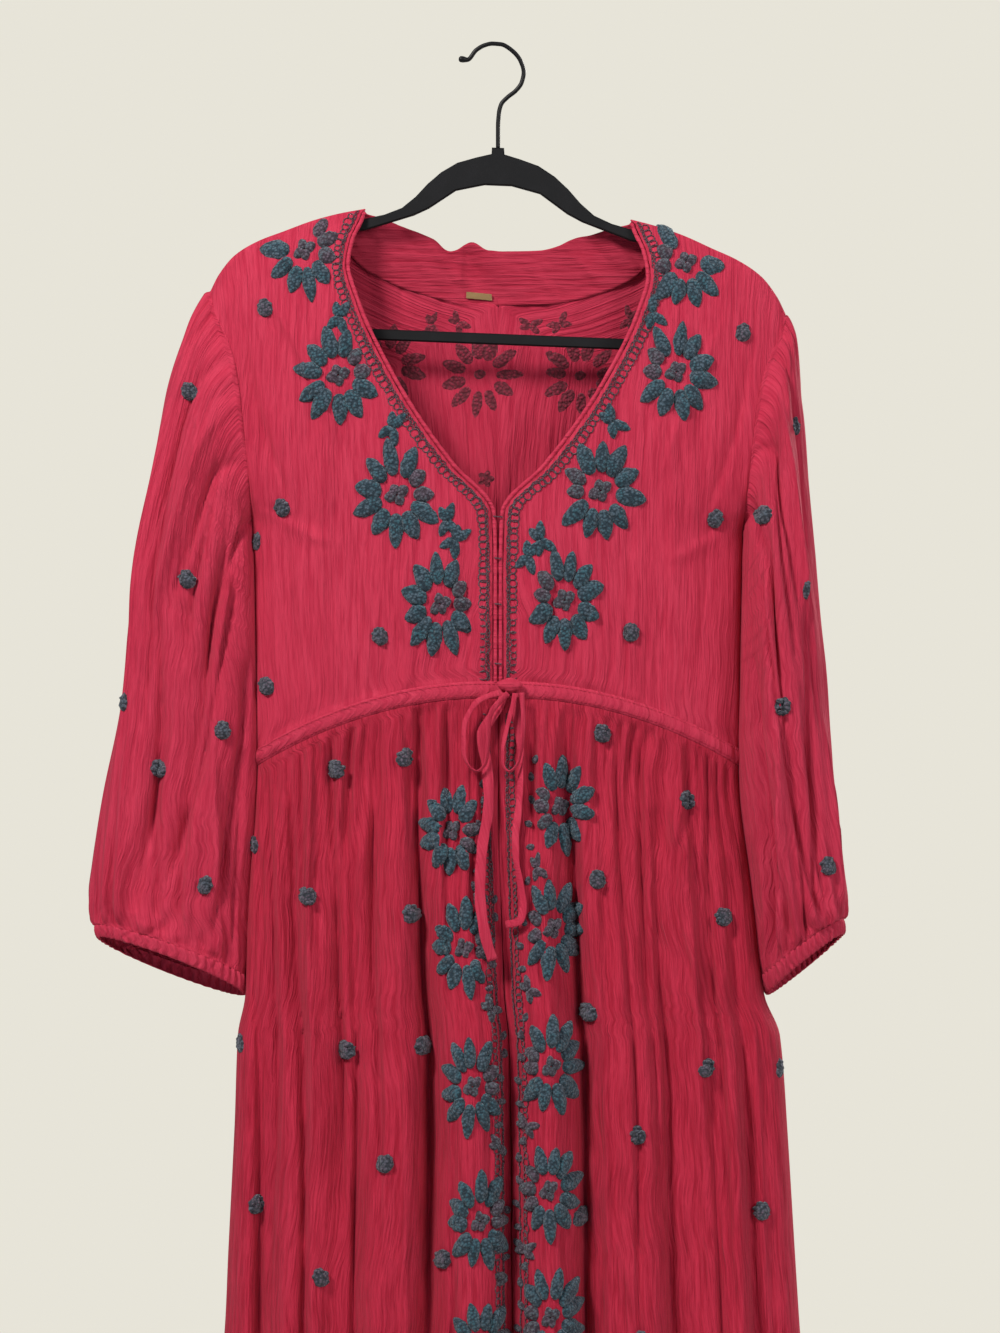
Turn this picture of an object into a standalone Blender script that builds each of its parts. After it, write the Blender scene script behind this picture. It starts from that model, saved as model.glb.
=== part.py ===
import math

import bmesh
import bpy
from mathutils import Vector

# A midi dress of crinkled gauze on a slim hanger. The tables and sizes are in millimetres, and
# place() turns them into metres. The frame's origin is under the top of the hanger's hook, the
# front faces -Y, and drop means the distance below the origin.
MM = 0.001
COLLECTION = "midi_dress_on_hanger"

# Driving sizes
WALL = 1.2
SEAM = 0.3
SIDE_GAP = 0.4
ARMHOLE_GAP = 0.8
WELD = 0.01
TILT = math.tan(math.radians(2.3))
TILT_ENDS = (-200.0, -500.0)
# A hanging garment's level section, nearly flat with quickly rounded sides: its two powers
SECTION_POWERS = (2.5, 0.4)
WAIST_HALF = 178.0
WAIST_TOP = -470.0
WAIST_FALL = 50.0
WAIST_BOW = 56.0
CASING_TALL = 10.5
CASING_PUFF = 1.8
CASING_WALL = 1.6
CASING_RUCHE = (0.2, 2.4)
HEM = -1370.0
PIPING_RADIUS = 1.5
TIE_RADIUS = 2.1
WIRE_RADIUS = 1.6
HANGER_HALF_THICK = 2.5
HANGER_ROUND = 1.0
HANGER_SEAT = 2.1
HOOK_POINTS = 26

# How many steps each piece's columns take near the centre, between, and at the side
BODICE_COLUMNS = (3, 5, 4)
CASING_COLUMNS = (3, 6, 4)
SKIRT_FRONT_COLUMNS = (9, 13, 5)
SKIRT_BACK_COLUMNS = (4, 8, 4)
COLUMN_ENDS = (0.3, 0.9)
SKIRT_FRONT_ROWS = 15
SKIRT_BACK_ROWS = 13
ROW_SPREAD = 1.25

CLOTH_ROUGH = 0.85
RED = (0.47, 0.035, 0.09, 1.0)
DARK_RED = (0.36, 0.025, 0.07, 1.0)
BLACK = (0.012, 0.012, 0.014, 1.0)
BRONZE = (0.30, 0.19, 0.08, 1.0)


def table(columns, *rows):
    return {name: [row[i] for row in rows] for i, name in enumerate(columns.split())}


# The line of the shoulder seam, from the neck to the tip
SHOULDER = table(
    "x z",
    (98, -124), (116, -128), (136, -134), (158, -143),
    (177, -151), (194, -162), (206, -177), (212, -189),
)

# Each bodice panel, row by row from the shoulder to the waist: its inner edge, its outer edge,
# how far both stand out from the middle plane, and how much the row bows up between them
FRONT = table(
    "row x_in z_in x_out z_out y_in y_out bow",
    (0, 98, -124, 212, -189, 0.4, 0.4, 0),
    (1, 98.3, -124.6, 212, -189.6, 4.0, 4.0, 0),
    (2, 101, -128, 211.5, -192, 5.8, 5.6, 0),
    (3, 109, -148, 208, -206, 14, 12, 16),
    (4, 112, -168, 200, -222, 20, 18, 11),
    (5, 103, -199, 191.5, -250, 26, 23, 5),
    (6, 79, -248, 187, -282, 31, 25, -2),
    (7, 59, -280, 184, -312, 33, 22, -6),
    (8, 35, -312, 182, -338, 34, 13, -6),
    (9, 5, -347, 181, -360, 34, 0.4, -4),
    (10, 4, -385, 180, -405, 34, 0.4, 4),
    (11, 4, -425, 179, -460, 33, 0.4, 10),
    (12, 4, -470, 178, -520, 32, 0.4, 14),
)
BACK = table(
    "row x_in z_in x_out z_out y_in y_out bow",
    (0, 122, -130, 212, -189, 0.4, 0.4, 0),
    (1, 121.7, -130.6, 212, -189.6, 4.0, 4.0, 0),
    (2, 120, -133, 211.5, -192, 5.8, 5.6, 0),
    (3, 113, -152, 208, -206, 11, 12, 14),
    (4, 101, -165, 200, -222, 15, 18, 10),
    (5, 75, -177, 191.5, -250, 21, 23, 6),
    (6, 38, -186, 187, -282, 25, 25, 4),
    (7, 0, -189, 184, -312, 27, 22, 2),
    (8, 0, -225, 182, -338, 28, 13, 2),
    (9, 0, -268, 181, -360, 29, 0.4, 3),
    (10, 0, -330, 180, -405, 30, 0.4, 5),
    (11, 0, -400, 179, -460, 31, 0.4, 10),
    (12, 0, -470, 178, -520, 32, 0.4, 14),
)
# How far the first rows fall below the shoulder seam as the cloth turns over the hanger's arm
SHOULDER_ROLL = table("row fall", (0, 0.0), (1, 0.6), (2, 3.0))
ARMHOLE_ROWS = (0, 1, 2, 3, 4, 5, 5.5, 6, 6.5, 7, 7.5, 8, 8.5, 9)
LOWER_ROWS = (9.5, 10, 10.5, 11, 11.5, 12)
BACK_NECK_ROWS = (0, 1, 2, 3, 4, 5, 5.5, 6, 6.5, 7)
BINDING_ROWS = (1.6, 2, 3, 3.5, 4, 5, 6, 7, 8, 8.6, 9, 9.5, 10, 10.5, 11, 11.5, 11.96)
# The last row turned over the hanger's arm, and the last before the waist
ROLL_ROW = 2
WAIST_ROW = 11

# Soft ridges of the bodice: where they run at the waist, half width, how far out, and the drop
# at which each begins; on the front they run a little further out than on the back
BODICE_FOLDS = table(
    "at wide lift begins",
    (38, 12, 2.4, 330), (66, 12, -2.2, 350), (92, 14, 2.6, 300),
    (118, 12, -2.4, 330), (142, 13, 2.4, 310), (162, 10, -1.6, 360),
)
FRONT_FOLDS_SHIFT = 6
FOLDS_FADE_OVER = 40

# The standing collar's top edge, by the same rows as the back's neckline
COLLAR_TOP = table(
    "row x z y",
    (0, 99, -124, 0.4), (1, 98.7, -124.6, 4.0), (2, 97, -127, 5.8), (3, 92, -128, 9),
    (4, 80, -131.5, 12), (5, 60, -138, 16), (6, 32, -147, 20), (7, 0, -149, 21),
)
COLLAR_RUMPLES = table("at wide lift", (-37, 12, -4.0), (-19, 12, 5.0), (58, 14, 1.6))
COLLAR_STEPS = 3

# The skirt's level sections: centre, half width, and depth in front and behind
SKIRT = table(
    "drop centre half front back",
    (470, 0, 178, 32, 32),
    (535, 0, 178, 32, 32),
    (565, 0.5, 180, 36, 36),
    (600, 1.5, 183.5, 42, 40),
    (650, 3, 188, 48, 46),
    (700, 5, 191.5, 53, 50),
    (730, 8, 200, 56, 54),
    (800, 9.5, 204, 60, 58),
    (890, 10, 209, 64, 62),
    (945, 10.5, 212, 66, 65),
    (1150, 10, 231, 74, 72),
    (1370, 10, 250, 82, 80),
)
FOLDS_MEASURED_AT = 212.0
FOLD_GROWS_OVER = 260.0
# The skirt's long folds: place from the centre and half width where the skirt's half width is
# FOLDS_MEASURED_AT, how far out, and the drop at which each begins
FRONT_FOLDS = table(
    "at wide lift begins",
    (-206, 12, 3, 800), (-184, 14, -5, 700), (-158, 20, 9, 600), (-127, 16, -9, 640),
    (-96, 22, 8, 540), (-62, 16, -10, 580), (-29, 27, 15, 500), (0, 13, -15, 540),
    (28, 26, 15, 500), (63, 17, -11, 560), (98, 24, 9, 540), (134, 17, -10, 620),
    (166, 20, 9, 590), (192, 12, -4, 720),
)
BACK_FOLDS = table(
    "at wide lift begins",
    (-190, 15, -5, 680), (-160, 22, 9, 590), (-124, 18, -10, 560), (-90, 20, 8, 620),
    (-58, 18, -9, 540), (-20, 26, 12, 520), (20, 18, -9, 600), (56, 22, 10, 560),
    (92, 17, -9, 630), (126, 22, 9, 540), (162, 18, -9, 590), (190, 14, 5, 700),
)
# Short gathers under the waist, unevenly spaced
GATHERS = 8
GATHER_UNEVEN = (0.12, 9, 0.25)
GATHER_LIFT = 2.4
GATHER_PEAK = 45.0
GATHER_ENDS = 230.0

# Each sleeve below the armhole: the outer and inner ends of a level cut, and half its depth
SLEEVE_LEFT = table(
    "x_out z_out x_in z_in depth",
    (228, -207, 183.5, -366, 27), (243, -250, 183.5, -378, 30),
    (256, -315, 183, -402, 32), (267, -372, 182.5, -435, 32),
    (272, -430, 183, -472, 31), (279, -490, 184, -518, 30),
    (291, -555, 186, -563, 30), (298, -605, 188, -616, 29),
    (300, -632, 189.5, -662, 28), (297, -650, 190, -688, 26),
)
SLEEVE_RIGHT = table(
    "x_out z_out x_in z_in depth",
    (219, -215, 183.5, -366, 30), (223, -262, 184, -380, 37),
    (227, -318, 185, -403, 43), (231, -374, 187, -436, 47),
    (236, -432, 187.5, -472, 49), (242, -492, 187, -517, 50),
    (249, -558, 189, -563, 50), (253, -610, 193, -612, 49),
    (256, -632, 197, -655, 45), (254, -645, 203, -688, 40),
)
CUFF_LEFT_END = (295, -659, 191, -700, 25)
CUFF_RIGHT_END = (255, -656, 209, -700, 38)
SLEEVE_GATHER = 1.5
SLEEVE_FOLD = 3.0
SLEEVE_SIDE_POWER = 0.9
CUFF_SIDES = 54
CUFF_GATHERS = 18
CUFF_RIPPLE = 1.0
CUFF_PUFF = 0.8

# The hook's wire, from its ball tip to the body, and the body's right half
HOOK = table(
    "x z",
    (-29, -10.5), (-23, -11), (-16, -3.5), (-10, 0.2), (-4, 1.7), (2, 1.5), (9, -1.8),
    (16.5, -10), (19, -18.5), (17.5, -26), (13, -32.5), (7, -37.5), (2.3, -43),
    (0.6, -50), (0, -60), (0, -74.9),
)
BALL_TIP = 1.5
HANGER_CREST = table(
    "x z",
    (4.5, -75.2), (4.8, -80), (16, -83), (30, -87.5), (42, -95), (52, -104), (61, -114),
    (71, -122.5), (84, -128), (98, -131.5),
)
HANGER_ARM = (120, 135, 150, 165, 178, 188)
HANGER_END = table("x z", (198, -176), (204, -190), (205, -204), (199, -215), (187, -220.5))
HANGER_GAP = table(
    "x z",
    (10, -103), (31, -108), (41, -115), (51, -122), (62, -127.5), (72, -131), (98, -140),
    (122, -143), (150, -153), (170, -162), (184, -172), (192, -184), (194, -198),
    (189, -209), (182, -212.5),
)

# The drawstring's bow, as seen from the front
KNOT = (8.8, -471.6)
KNOT_RADII = (9.0, 4.6, 5.5)
KNOT_SEAT = 0.4
KNOT_PINCH = 0.12
TAIL_LEFT = table(
    "x z",
    (4.8, -476.8), (3.4, -483), (-4, -494), (-12, -509), (-8, -529), (-6.6, -556), (-11.7, -592),
    (-13, -620), (-9.5, -651), (-3.7, -670),
)
TAIL_RIGHT = table(
    "x z",
    (12.6, -477.4), (14, -500), (16.8, -525), (15.3, -556), (12.4, -588), (16.5, -618),
    (18.5, -634), (14, -643.5), (5.8, -645),
)
LOOP_LEFT = table(
    "x z",
    (2.2, -476.9), (0.8, -480), (-8, -487), (-16, -498), (-20.6, -513), (-21, -526), (-16, -534),
    (-10.5, -526), (-8, -512), (-2, -497), (6.2, -483), (7.4, -477.4),
)
LOOP_RIGHT = table(
    "x z",
    (12.4, -477.4), (11.8, -484), (9, -497), (8, -512), (8.5, -526), (13, -534),
    (18.5, -525), (20, -510), (19.5, -496), (17.4, -477.0),
)
TAIL_OFF = 2.8
LOOP_OFF = 8.0
# Each end of the bow: its node, its line, how many points, and how far it stands off the skirt
TIES = (
    ("tie_tail_left", TAIL_LEFT, 18, TAIL_OFF),
    ("tie_tail_right", TAIL_RIGHT, 16, TAIL_OFF),
    ("tie_loop_left", LOOP_LEFT, 16, LOOP_OFF),
    ("tie_loop_right", LOOP_RIGHT, 15, LOOP_OFF),
)
# Where the skirt's front is felt for under a tie, to the sides and up and down
FEEL_ACROSS = (-6, -3, 0, 3, 6)
FEEL_ALONG = (-12, 0, 12)

HOOK_AND_EYE_ROWS = (9.05, 9.85, 10.7, 11.45)
HOOK_AND_EYE_RADIUS = 0.5
LABEL_ROWS = (6.3, 6.75)
LABEL_BAND = (0.05, 0.17)
LABEL_WALL = 0.5


def smooth(low, high, value):
    t = min(1.0, max(0.0, (value - low) / (high - low)))
    return t * t * (3 - 2 * t)


def rise(xs, ys, k):
    return (ys[k + 1] - ys[k]) / (xs[k + 1] - xs[k])


def read(sheet, wanted, by, value):
    # A smooth line through the rows, held level past both ends
    xs, ys = sheet[by], sheet[wanted]
    last = len(xs) - 1
    if value <= xs[0]:
        return ys[0]
    if value >= xs[last]:
        return ys[last]
    i = max(k for k in range(last) if xs[k] <= value)
    slopes = []
    for k in (i, i + 1):
        before, after = rise(xs, ys, max(k - 1, 0)), rise(xs, ys, min(k, last - 1))
        level = before * after <= 0
        slopes.append(0.0 if level else 2 * before * after / (before + after))
    h = xs[i + 1] - xs[i]
    t = (value - xs[i]) / h
    start = ys[i] * (1 + 2 * t) * (1 - t) ** 2 + slopes[0] * h * t * (1 - t) ** 2
    return start + ys[i + 1] * t * t * (3 - 2 * t) - slopes[1] * h * t * t * (1 - t)


def bump(offset, wide):
    return math.cos(0.5 * math.pi * offset / wide) ** 2 if abs(offset) < wide else 0.0


def place(x, y, z):
    # The hanger leans, so its right end and the cloth on it are a little lower
    lean = smooth(TILT_ENDS[1], TILT_ENDS[0], z)
    return Vector((x, y, z - TILT * x * lean)) * MM


def flat_round(s):
    return (1 - min(1.0, abs(s)) ** SECTION_POWERS[0]) ** SECTION_POWERS[1]


def waist_z(x):
    s = abs(x) / WAIST_HALF
    return WAIST_TOP - WAIST_FALL * s + WAIST_BOW * s * (1 - s)


def columns(steps):
    # Shares of a half width, closer together at the centre and at the side
    centre, middle, side = steps
    near, far = COLUMN_ENDS
    shares = [near * i / centre for i in range(centre)]
    shares += [near + (far - near) * i / middle for i in range(middle)]
    shares += [1 - (1 - far) * (1 - i / side) ** 2 for i in range(side + 1)]
    return shares


def bodice_point(panel, side, row, s):
    front = panel is FRONT
    at = {name: read(panel, name, "row", row) for name in panel}
    x = at["x_in"] + (at["x_out"] - at["x_in"]) * s
    z = at["z_in"] + (at["z_out"] - at["z_in"]) * s + at["bow"] * 4 * s * (1 - s)
    if row <= ROLL_ROW:
        z = read(SHOULDER, "z", "x", x) - read(SHOULDER_ROLL, "fall", "row", row)
    if row > WAIST_ROW:
        z += (waist_z(x) + SEAM - z) * (row - WAIST_ROW)
    y = at["y_out"] + (at["y_in"] - at["y_out"]) * flat_round(x / at["x_out"])
    fade = smooth(0, FOLDS_FADE_OVER, z - waist_z(x)) * flat_round(s)
    shift = FRONT_FOLDS_SHIFT if front else 0
    for k, place_at in enumerate(BODICE_FOLDS["at"]):
        shape = bump(x - place_at - shift, BODICE_FOLDS["wide"][k])
        grow = smooth(BODICE_FOLDS["begins"][k], -WAIST_TOP, -z)
        y += BODICE_FOLDS["lift"][k] * shape * grow * fade
    return place(side * x, -y if front else y, z)


def collar_point(side, row, w):
    # w runs from the neck seam, 0, to the collar's top edge, 1
    x_seam, x_top = read(BACK, "x_in", "row", row), read(COLLAR_TOP, "x", "row", row)
    x_seam -= 2 * SEAM * smooth(0, 30, x_seam)
    x = x_seam + (x_top - x_seam) * w
    y_seam, y_top = neck_y(row), read(COLLAR_TOP, "y", "row", row)
    y = y_seam + (y_top - y_seam) * w
    if row <= ROLL_ROW:
        z = read(SHOULDER, "z", "x", x) - read(SHOULDER_ROLL, "fall", "row", row)
    else:
        z_seam = read(BACK, "z_in", "row", row) + 1.5 * SEAM
        z = z_seam + (read(COLLAR_TOP, "z", "row", row) - z_seam) * w
    for k, place_at in enumerate(COLLAR_RUMPLES["at"]):
        rumple = COLLAR_RUMPLES["lift"][k] * bump(side * x - place_at, COLLAR_RUMPLES["wide"][k])
        z += rumple * w * w
        y += 2 * abs(rumple) * w * (1 - w)
    return place(side * x, y, z)


def neck_y(row):
    x_in, x_out = read(BACK, "x_in", "row", row), read(BACK, "x_out", "row", row)
    y_in, y_out = read(BACK, "y_in", "row", row), read(BACK, "y_out", "row", row)
    return y_out + (y_in - y_out) * flat_round(x_in / x_out)


def fold_lift(folds, x, drop):
    lift = 0.0
    for k, at in enumerate(folds["at"]):
        grow = smooth(folds["begins"][k], folds["begins"][k] + FOLD_GROWS_OVER, drop)
        lift += folds["lift"][k] * grow * bump(x - at, folds["wide"][k])
    return lift


def skirt_point(front, side, s, v):
    top = waist_z(s * WAIST_HALF) - CASING_TALL - SEAM
    z = top + (HEM - top) * v
    x = side * read(SKIRT, "half", "drop", -z) * s
    y = skirt_depth(front, side, s, z, top)
    if front and s == 0:
        x = side * SEAM
    return place(x + read(SKIRT, "centre", "drop", -z), -y if front else y, z)


def skirt_depth(front, side, s, z, top):
    depth = read(SKIRT, "front" if front else "back", "drop", -z)
    below = top - z
    gather = smooth(0, GATHER_PEAK, below) * (1 - smooth(GATHER_PEAK, GATHER_ENDS, below))
    uneven, waves, start = GATHER_UNEVEN
    wave = math.cos(2 * math.pi * (GATHERS * s + uneven * math.sin(waves * s) + start * side))
    folds = FRONT_FOLDS if front else BACK_FOLDS
    lift = fold_lift(folds, side * s * FOLDS_MEASURED_AT, -z) + GATHER_LIFT * gather * wave
    return max(SIDE_GAP, depth * flat_round(s) + lift * flat_round(s ** 3))


def new_material(name, colour, roughness, metallic=0.0):
    material = bpy.data.materials.new(name)
    material.use_nodes = True
    shader = material.node_tree.nodes["Principled BSDF"]
    shader.inputs["Base Color"].default_value = colour
    shader.inputs["Roughness"].default_value = roughness
    shader.inputs["Metallic"].default_value = metallic
    material.diffuse_color = colour
    return material


def add_object(name, data, colour, roughness, metallic=0.0):
    item = bpy.data.objects.new(name, data)
    data.materials.append(new_material(name, colour, roughness, metallic))
    bpy.data.collections[COLLECTION].objects.link(item)
    return item


def cloth(name, *sheets, welded=False, wall=WALL, colour=RED):
    # Each sheet is rows of points, left to right and top to bottom as seen from outside
    mesh = bpy.data.meshes.new(name)
    bm = bmesh.new()
    for rows in sheets:
        wide, tall = len(rows[0]), len(rows)
        first = len(bm.verts)
        bmesh.ops.create_grid(bm, x_segments=wide - 1, y_segments=tall - 1, size=1)
        bm.verts.ensure_lookup_table()
        for j, row in enumerate(reversed(rows)):
            for i, point in enumerate(row):
                bm.verts[first + j * wide + i].co = point
    if welded:
        bmesh.ops.remove_doubles(bm, verts=bm.verts, dist=WELD * MM)
    bm.to_mesh(mesh)
    bm.free()
    mesh.shade_smooth()
    item = add_object(name, mesh, colour, CLOTH_ROUGH)
    shell = item.modifiers.new("wall", "SOLIDIFY")
    shell.thickness = wall * MM
    shell.offset = -1


def tube(name, points, radius, colour, roughness, tip=1.0, tip_points=0):
    curve = bpy.data.curves.new(name, "CURVE")
    curve.dimensions = "3D"
    curve.bevel_depth = radius * MM
    curve.bevel_resolution = 2
    curve.use_fill_caps = True
    spline = curve.splines.new("POLY")
    spline.points.add(len(points) - 1)
    for i, point in enumerate(points):
        spline.points[i].co = (*point, 1)
        spline.points[i].radius = tip if i < tip_points else 1.0
    add_object(name, curve, colour, roughness)


def smooth_route(sheet, count):
    # Evenly spaced points on a smooth line through a table's x and z
    far = [0.0]
    for k in range(1, len(sheet["x"])):
        step = math.hypot(sheet["x"][k] - sheet["x"][k - 1], sheet["z"][k] - sheet["z"][k - 1])
        far.append(far[-1] + step)
    along = dict(sheet, far=far)
    spots = [far[-1] * i / (count - 1) for i in range(count)]
    return [(read(along, "x", "far", at), read(along, "z", "far", at)) for at in spots]


def make_bodice():
    shares = columns(BODICE_COLUMNS)
    rows = ARMHOLE_ROWS + LOWER_ROWS
    for name, side in (("bodice_front_left", -1), ("bodice_front_right", 1)):
        order = list(reversed(shares)) if side < 0 else shares
        cloth(name, [[bodice_point(FRONT, side, row, s) for s in order] for row in rows])
    # The back's two halves are welded below the neckline, where both reach the centre
    right = [[bodice_point(BACK, 1, row, s) for s in reversed(shares)] for row in rows]
    left = [[bodice_point(BACK, -1, row, s) for s in shares] for row in rows]
    cloth("bodice_back", right, left, welded=True)


def make_collar():
    rows = []
    for step in range(COLLAR_STEPS, -1, -1):
        w = step / COLLAR_STEPS
        right = [collar_point(1, row, w) for row in BACK_NECK_ROWS]
        left = [collar_point(-1, row, w) for row in reversed(BACK_NECK_ROWS[:-1])]
        rows.append(right + left)
    cloth("back_collar", rows)
    label = []
    for w in reversed(LABEL_BAND):
        points = [collar_point(-1, row, w) for row in LABEL_ROWS]
        inward = Vector((0, WALL + LABEL_WALL + SEAM, 0)) * MM
        label.append([point - inward for point in points])
    cloth("woven_label", label, wall=LABEL_WALL, colour=BRONZE)


def make_bindings():
    off = (2 * SEAM + PIPING_RADIUS) * MM
    for name, side in (("neck_binding_left", -1), ("neck_binding_right", 1)):
        edge = [bodice_point(FRONT, side, row, 0) for row in BINDING_ROWS]
        route = []
        for i, point in enumerate(edge):
            along = edge[min(i + 1, len(edge) - 1)] - edge[max(i - 1, 0)]
            into = Vector((along.z * side, 0, -along.x * side)).normalized()
            route.append(point + into * off + Vector((0, 0.5 * WALL, 0)) * MM)
        tube(name, route, PIPING_RADIUS, RED, CLOTH_ROUGH)


def sleeve_ring(side, end, angles, ripple):
    x_out, z_out, x_in, z_in, depth = end
    ring = []
    for j, a in enumerate(angles):
        c, d = math.cos(a), math.sin(a)
        swell = ripple(j, a)
        x = 0.5 * (x_out + x_in) + (0.5 * (x_out - x_in) + swell) * c
        z = 0.5 * (z_out + z_in) + 0.5 * (z_out - z_in) * c
        y = -math.copysign(abs(d) ** SLEEVE_SIDE_POWER, d) * (depth + swell)
        ring.append(Vector((side * x, y, z)) * MM)
    return ring


def make_sleeve(name, cuff_name, side, sheet, cuff_end):
    front = [bodice_point(FRONT, side, row, 1) for row in ARMHOLE_ROWS]
    back = [bodice_point(BACK, side, row, 1) for row in ARMHOLE_ROWS]
    top, low = front[0].z, front[-1].z
    angles = [math.acos((2 * p.z - top - low) / (top - low)) for p in front]
    # From the tip down the front, and up the back to the tip again
    loop = front[1:-1] + [0.5 * (front[-1] + back[-1])] + back[-2:0:-1]
    loop = [0.5 * (front[0] + back[0])] + loop
    turns = [0.0] + angles[1:-1] + [math.pi] + [2 * math.pi - a for a in angles[-2:0:-1]]
    rings = [[p + Vector((side * ARMHOLE_GAP, 0, 0)) * MM for p in loop]]
    count = len(sheet["depth"])
    ends = [tuple(sheet[k][i] for k in sheet) for i in range(count)]
    for i, end in enumerate(ends):
        share = i / (count - 1)
        gather = SLEEVE_GATHER * max(1 - 4 * share, 4 * share - 3, 0)
        fold = SLEEVE_FOLD * math.sin(math.pi * share)

        def ripple(j, a):
            wave = math.sin(3 * a + 2.2 * share + side) * 0.6 + math.sin(5 * a - 3 * share) * 0.4
            return gather * (-1) ** j + fold * wave * abs(math.sin(a))

        rings.append(sleeve_ring(side, end, turns, ripple))
    if side > 0:
        rings = [list(reversed(ring)) for ring in rings]
    cloth(name, [ring + ring[:1] for ring in rings], welded=True)
    make_cuff(cuff_name, side, ends[-1], cuff_end)


def make_cuff(name, side, start, end):
    turns = [2 * math.pi * i / CUFF_SIDES for i in range(CUFF_SIDES)]
    long = math.dist(start[:2], end[:2]) * 0.5 + math.dist(start[2:4], end[2:4]) * 0.5
    rings = []
    for share, puff in ((2 * SEAM / long, 0.0), (0.5, CUFF_PUFF), (1.0, 0.0)):
        cut = tuple(a + (b - a) * share for a, b in zip(start, end))

        def ripple(j, a):
            return puff + CUFF_RIPPLE * math.cos(CUFF_GATHERS * a)

        rings.append(sleeve_ring(side, cut, turns, ripple))
    if side > 0:
        rings = [list(reversed(ring)) for ring in rings]
    cloth(name, [ring + ring[:1] for ring in rings], welded=True)


def make_casing():
    shares = columns(CASING_COLUMNS)
    line = [(-s, -1) for s in reversed(shares)] + [(s, -1) for s in shares[1:]]
    line += [(s, 1) for s in reversed(shares[:-1])] + [(-s, 1) for s in shares[1:-1]]
    rows = []
    for fall, puff in ((0.0, 0.0), (0.5, 1.0), (1.0, 0.0)):
        row = []
        for k, (s, face) in enumerate(line):
            out = CASING_PUFF * puff * (1 + CASING_RUCHE[0] * math.sin(CASING_RUCHE[1] * k))
            x = s * (WAIST_HALF + out)
            y = face * (SKIRT["front"][0] + out) * flat_round(s)
            row.append(place(x, y, waist_z(s * WAIST_HALF) - CASING_TALL * fall))
        rows.append(row + row[:1])
    cloth("waist_casing", rows, welded=True, wall=CASING_WALL)


def make_skirt():
    fronts, backs = columns(SKIRT_FRONT_COLUMNS), columns(SKIRT_BACK_COLUMNS)
    front_rows = [(i / SKIRT_FRONT_ROWS) ** ROW_SPREAD for i in range(SKIRT_FRONT_ROWS + 1)]
    back_rows = [(i / SKIRT_BACK_ROWS) ** ROW_SPREAD for i in range(SKIRT_BACK_ROWS + 1)]
    for name, side in (("skirt_front_left", -1), ("skirt_front_right", 1)):
        order = list(reversed(fronts)) if side < 0 else fronts
        rows = [[skirt_point(True, side, s, v) for s in order] for v in front_rows]
        cloth(name, rows)
    rows = []
    for v in back_rows:
        right = [skirt_point(False, 1, s, v) for s in reversed(backs)]
        left = [skirt_point(False, -1, s, v) for s in backs[1:]]
        rows.append(right + left)
    cloth("skirt_back", rows)


def front_y(x, z):
    # The furthest that the skirt stands out within a drawstring's width of a place
    far = 0.0
    for step in FEEL_ACROSS:
        middle = read(SKIRT, "centre", "drop", -z)
        half = read(SKIRT, "half", "drop", -z)
        s = abs(x + step - middle) / half
        side = -1 if x + step < middle else 1
        top = waist_z(s * WAIST_HALF) - CASING_TALL - SEAM
        for dz in FEEL_ALONG:
            far = max(far, skirt_depth(True, side, s, min(z + dz, top), top))
    return max(far, SKIRT["front"][0] + CASING_PUFF)


def make_bow():
    mesh = bpy.data.meshes.new("tie_knot")
    bm = bmesh.new()
    bmesh.ops.create_uvsphere(bm, u_segments=12, v_segments=7, radius=1)
    for vert in bm.verts:
        pinch = 1 - KNOT_PINCH * abs(vert.co.x)
        scaled = [c * r * MM for c, r in zip(vert.co, KNOT_RADII)]
        vert.co = Vector((scaled[0], scaled[1] * pinch, scaled[2] * pinch))
    bm.to_mesh(mesh)
    bm.free()
    mesh.shade_smooth()
    knot = add_object("tie_knot", mesh, RED, CLOTH_ROUGH)
    stands_out = SKIRT["front"][0] + CASING_PUFF + SEAM + KNOT_RADII[1] - KNOT_SEAT
    knot.location = Vector((KNOT[0], -stands_out, KNOT[1])) * MM
    for name, sheet, count, off in TIES:
        route = [place(x, -front_y(x, z) - off, z) for x, z in smooth_route(sheet, count)]
        tube(name, route, TIE_RADIUS, DARK_RED, CLOTH_ROUGH)


def make_hooks():
    # Small bars that bridge the split, just in front of the rolled edges
    for number, row in enumerate(HOOK_AND_EYE_ROWS, 1):
        edge = bodice_point(FRONT, 1, row, 0) / MM
        y = edge.y + 0.5 * WALL - PIPING_RADIUS - HOOK_AND_EYE_RADIUS - SEAM
        half = edge.x - PIPING_RADIUS
        route = []
        for share in (-1, -0.5, 0, 0.5, 1):
            out = HOOK_AND_EYE_RADIUS * (1 - share * share)
            route.append(Vector((share * half, y - out, edge.z - share * SEAM)) * MM)
        tube(f"hook_and_eye_{number}", route, HOOK_AND_EYE_RADIUS, DARK_RED, 0.5)


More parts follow.
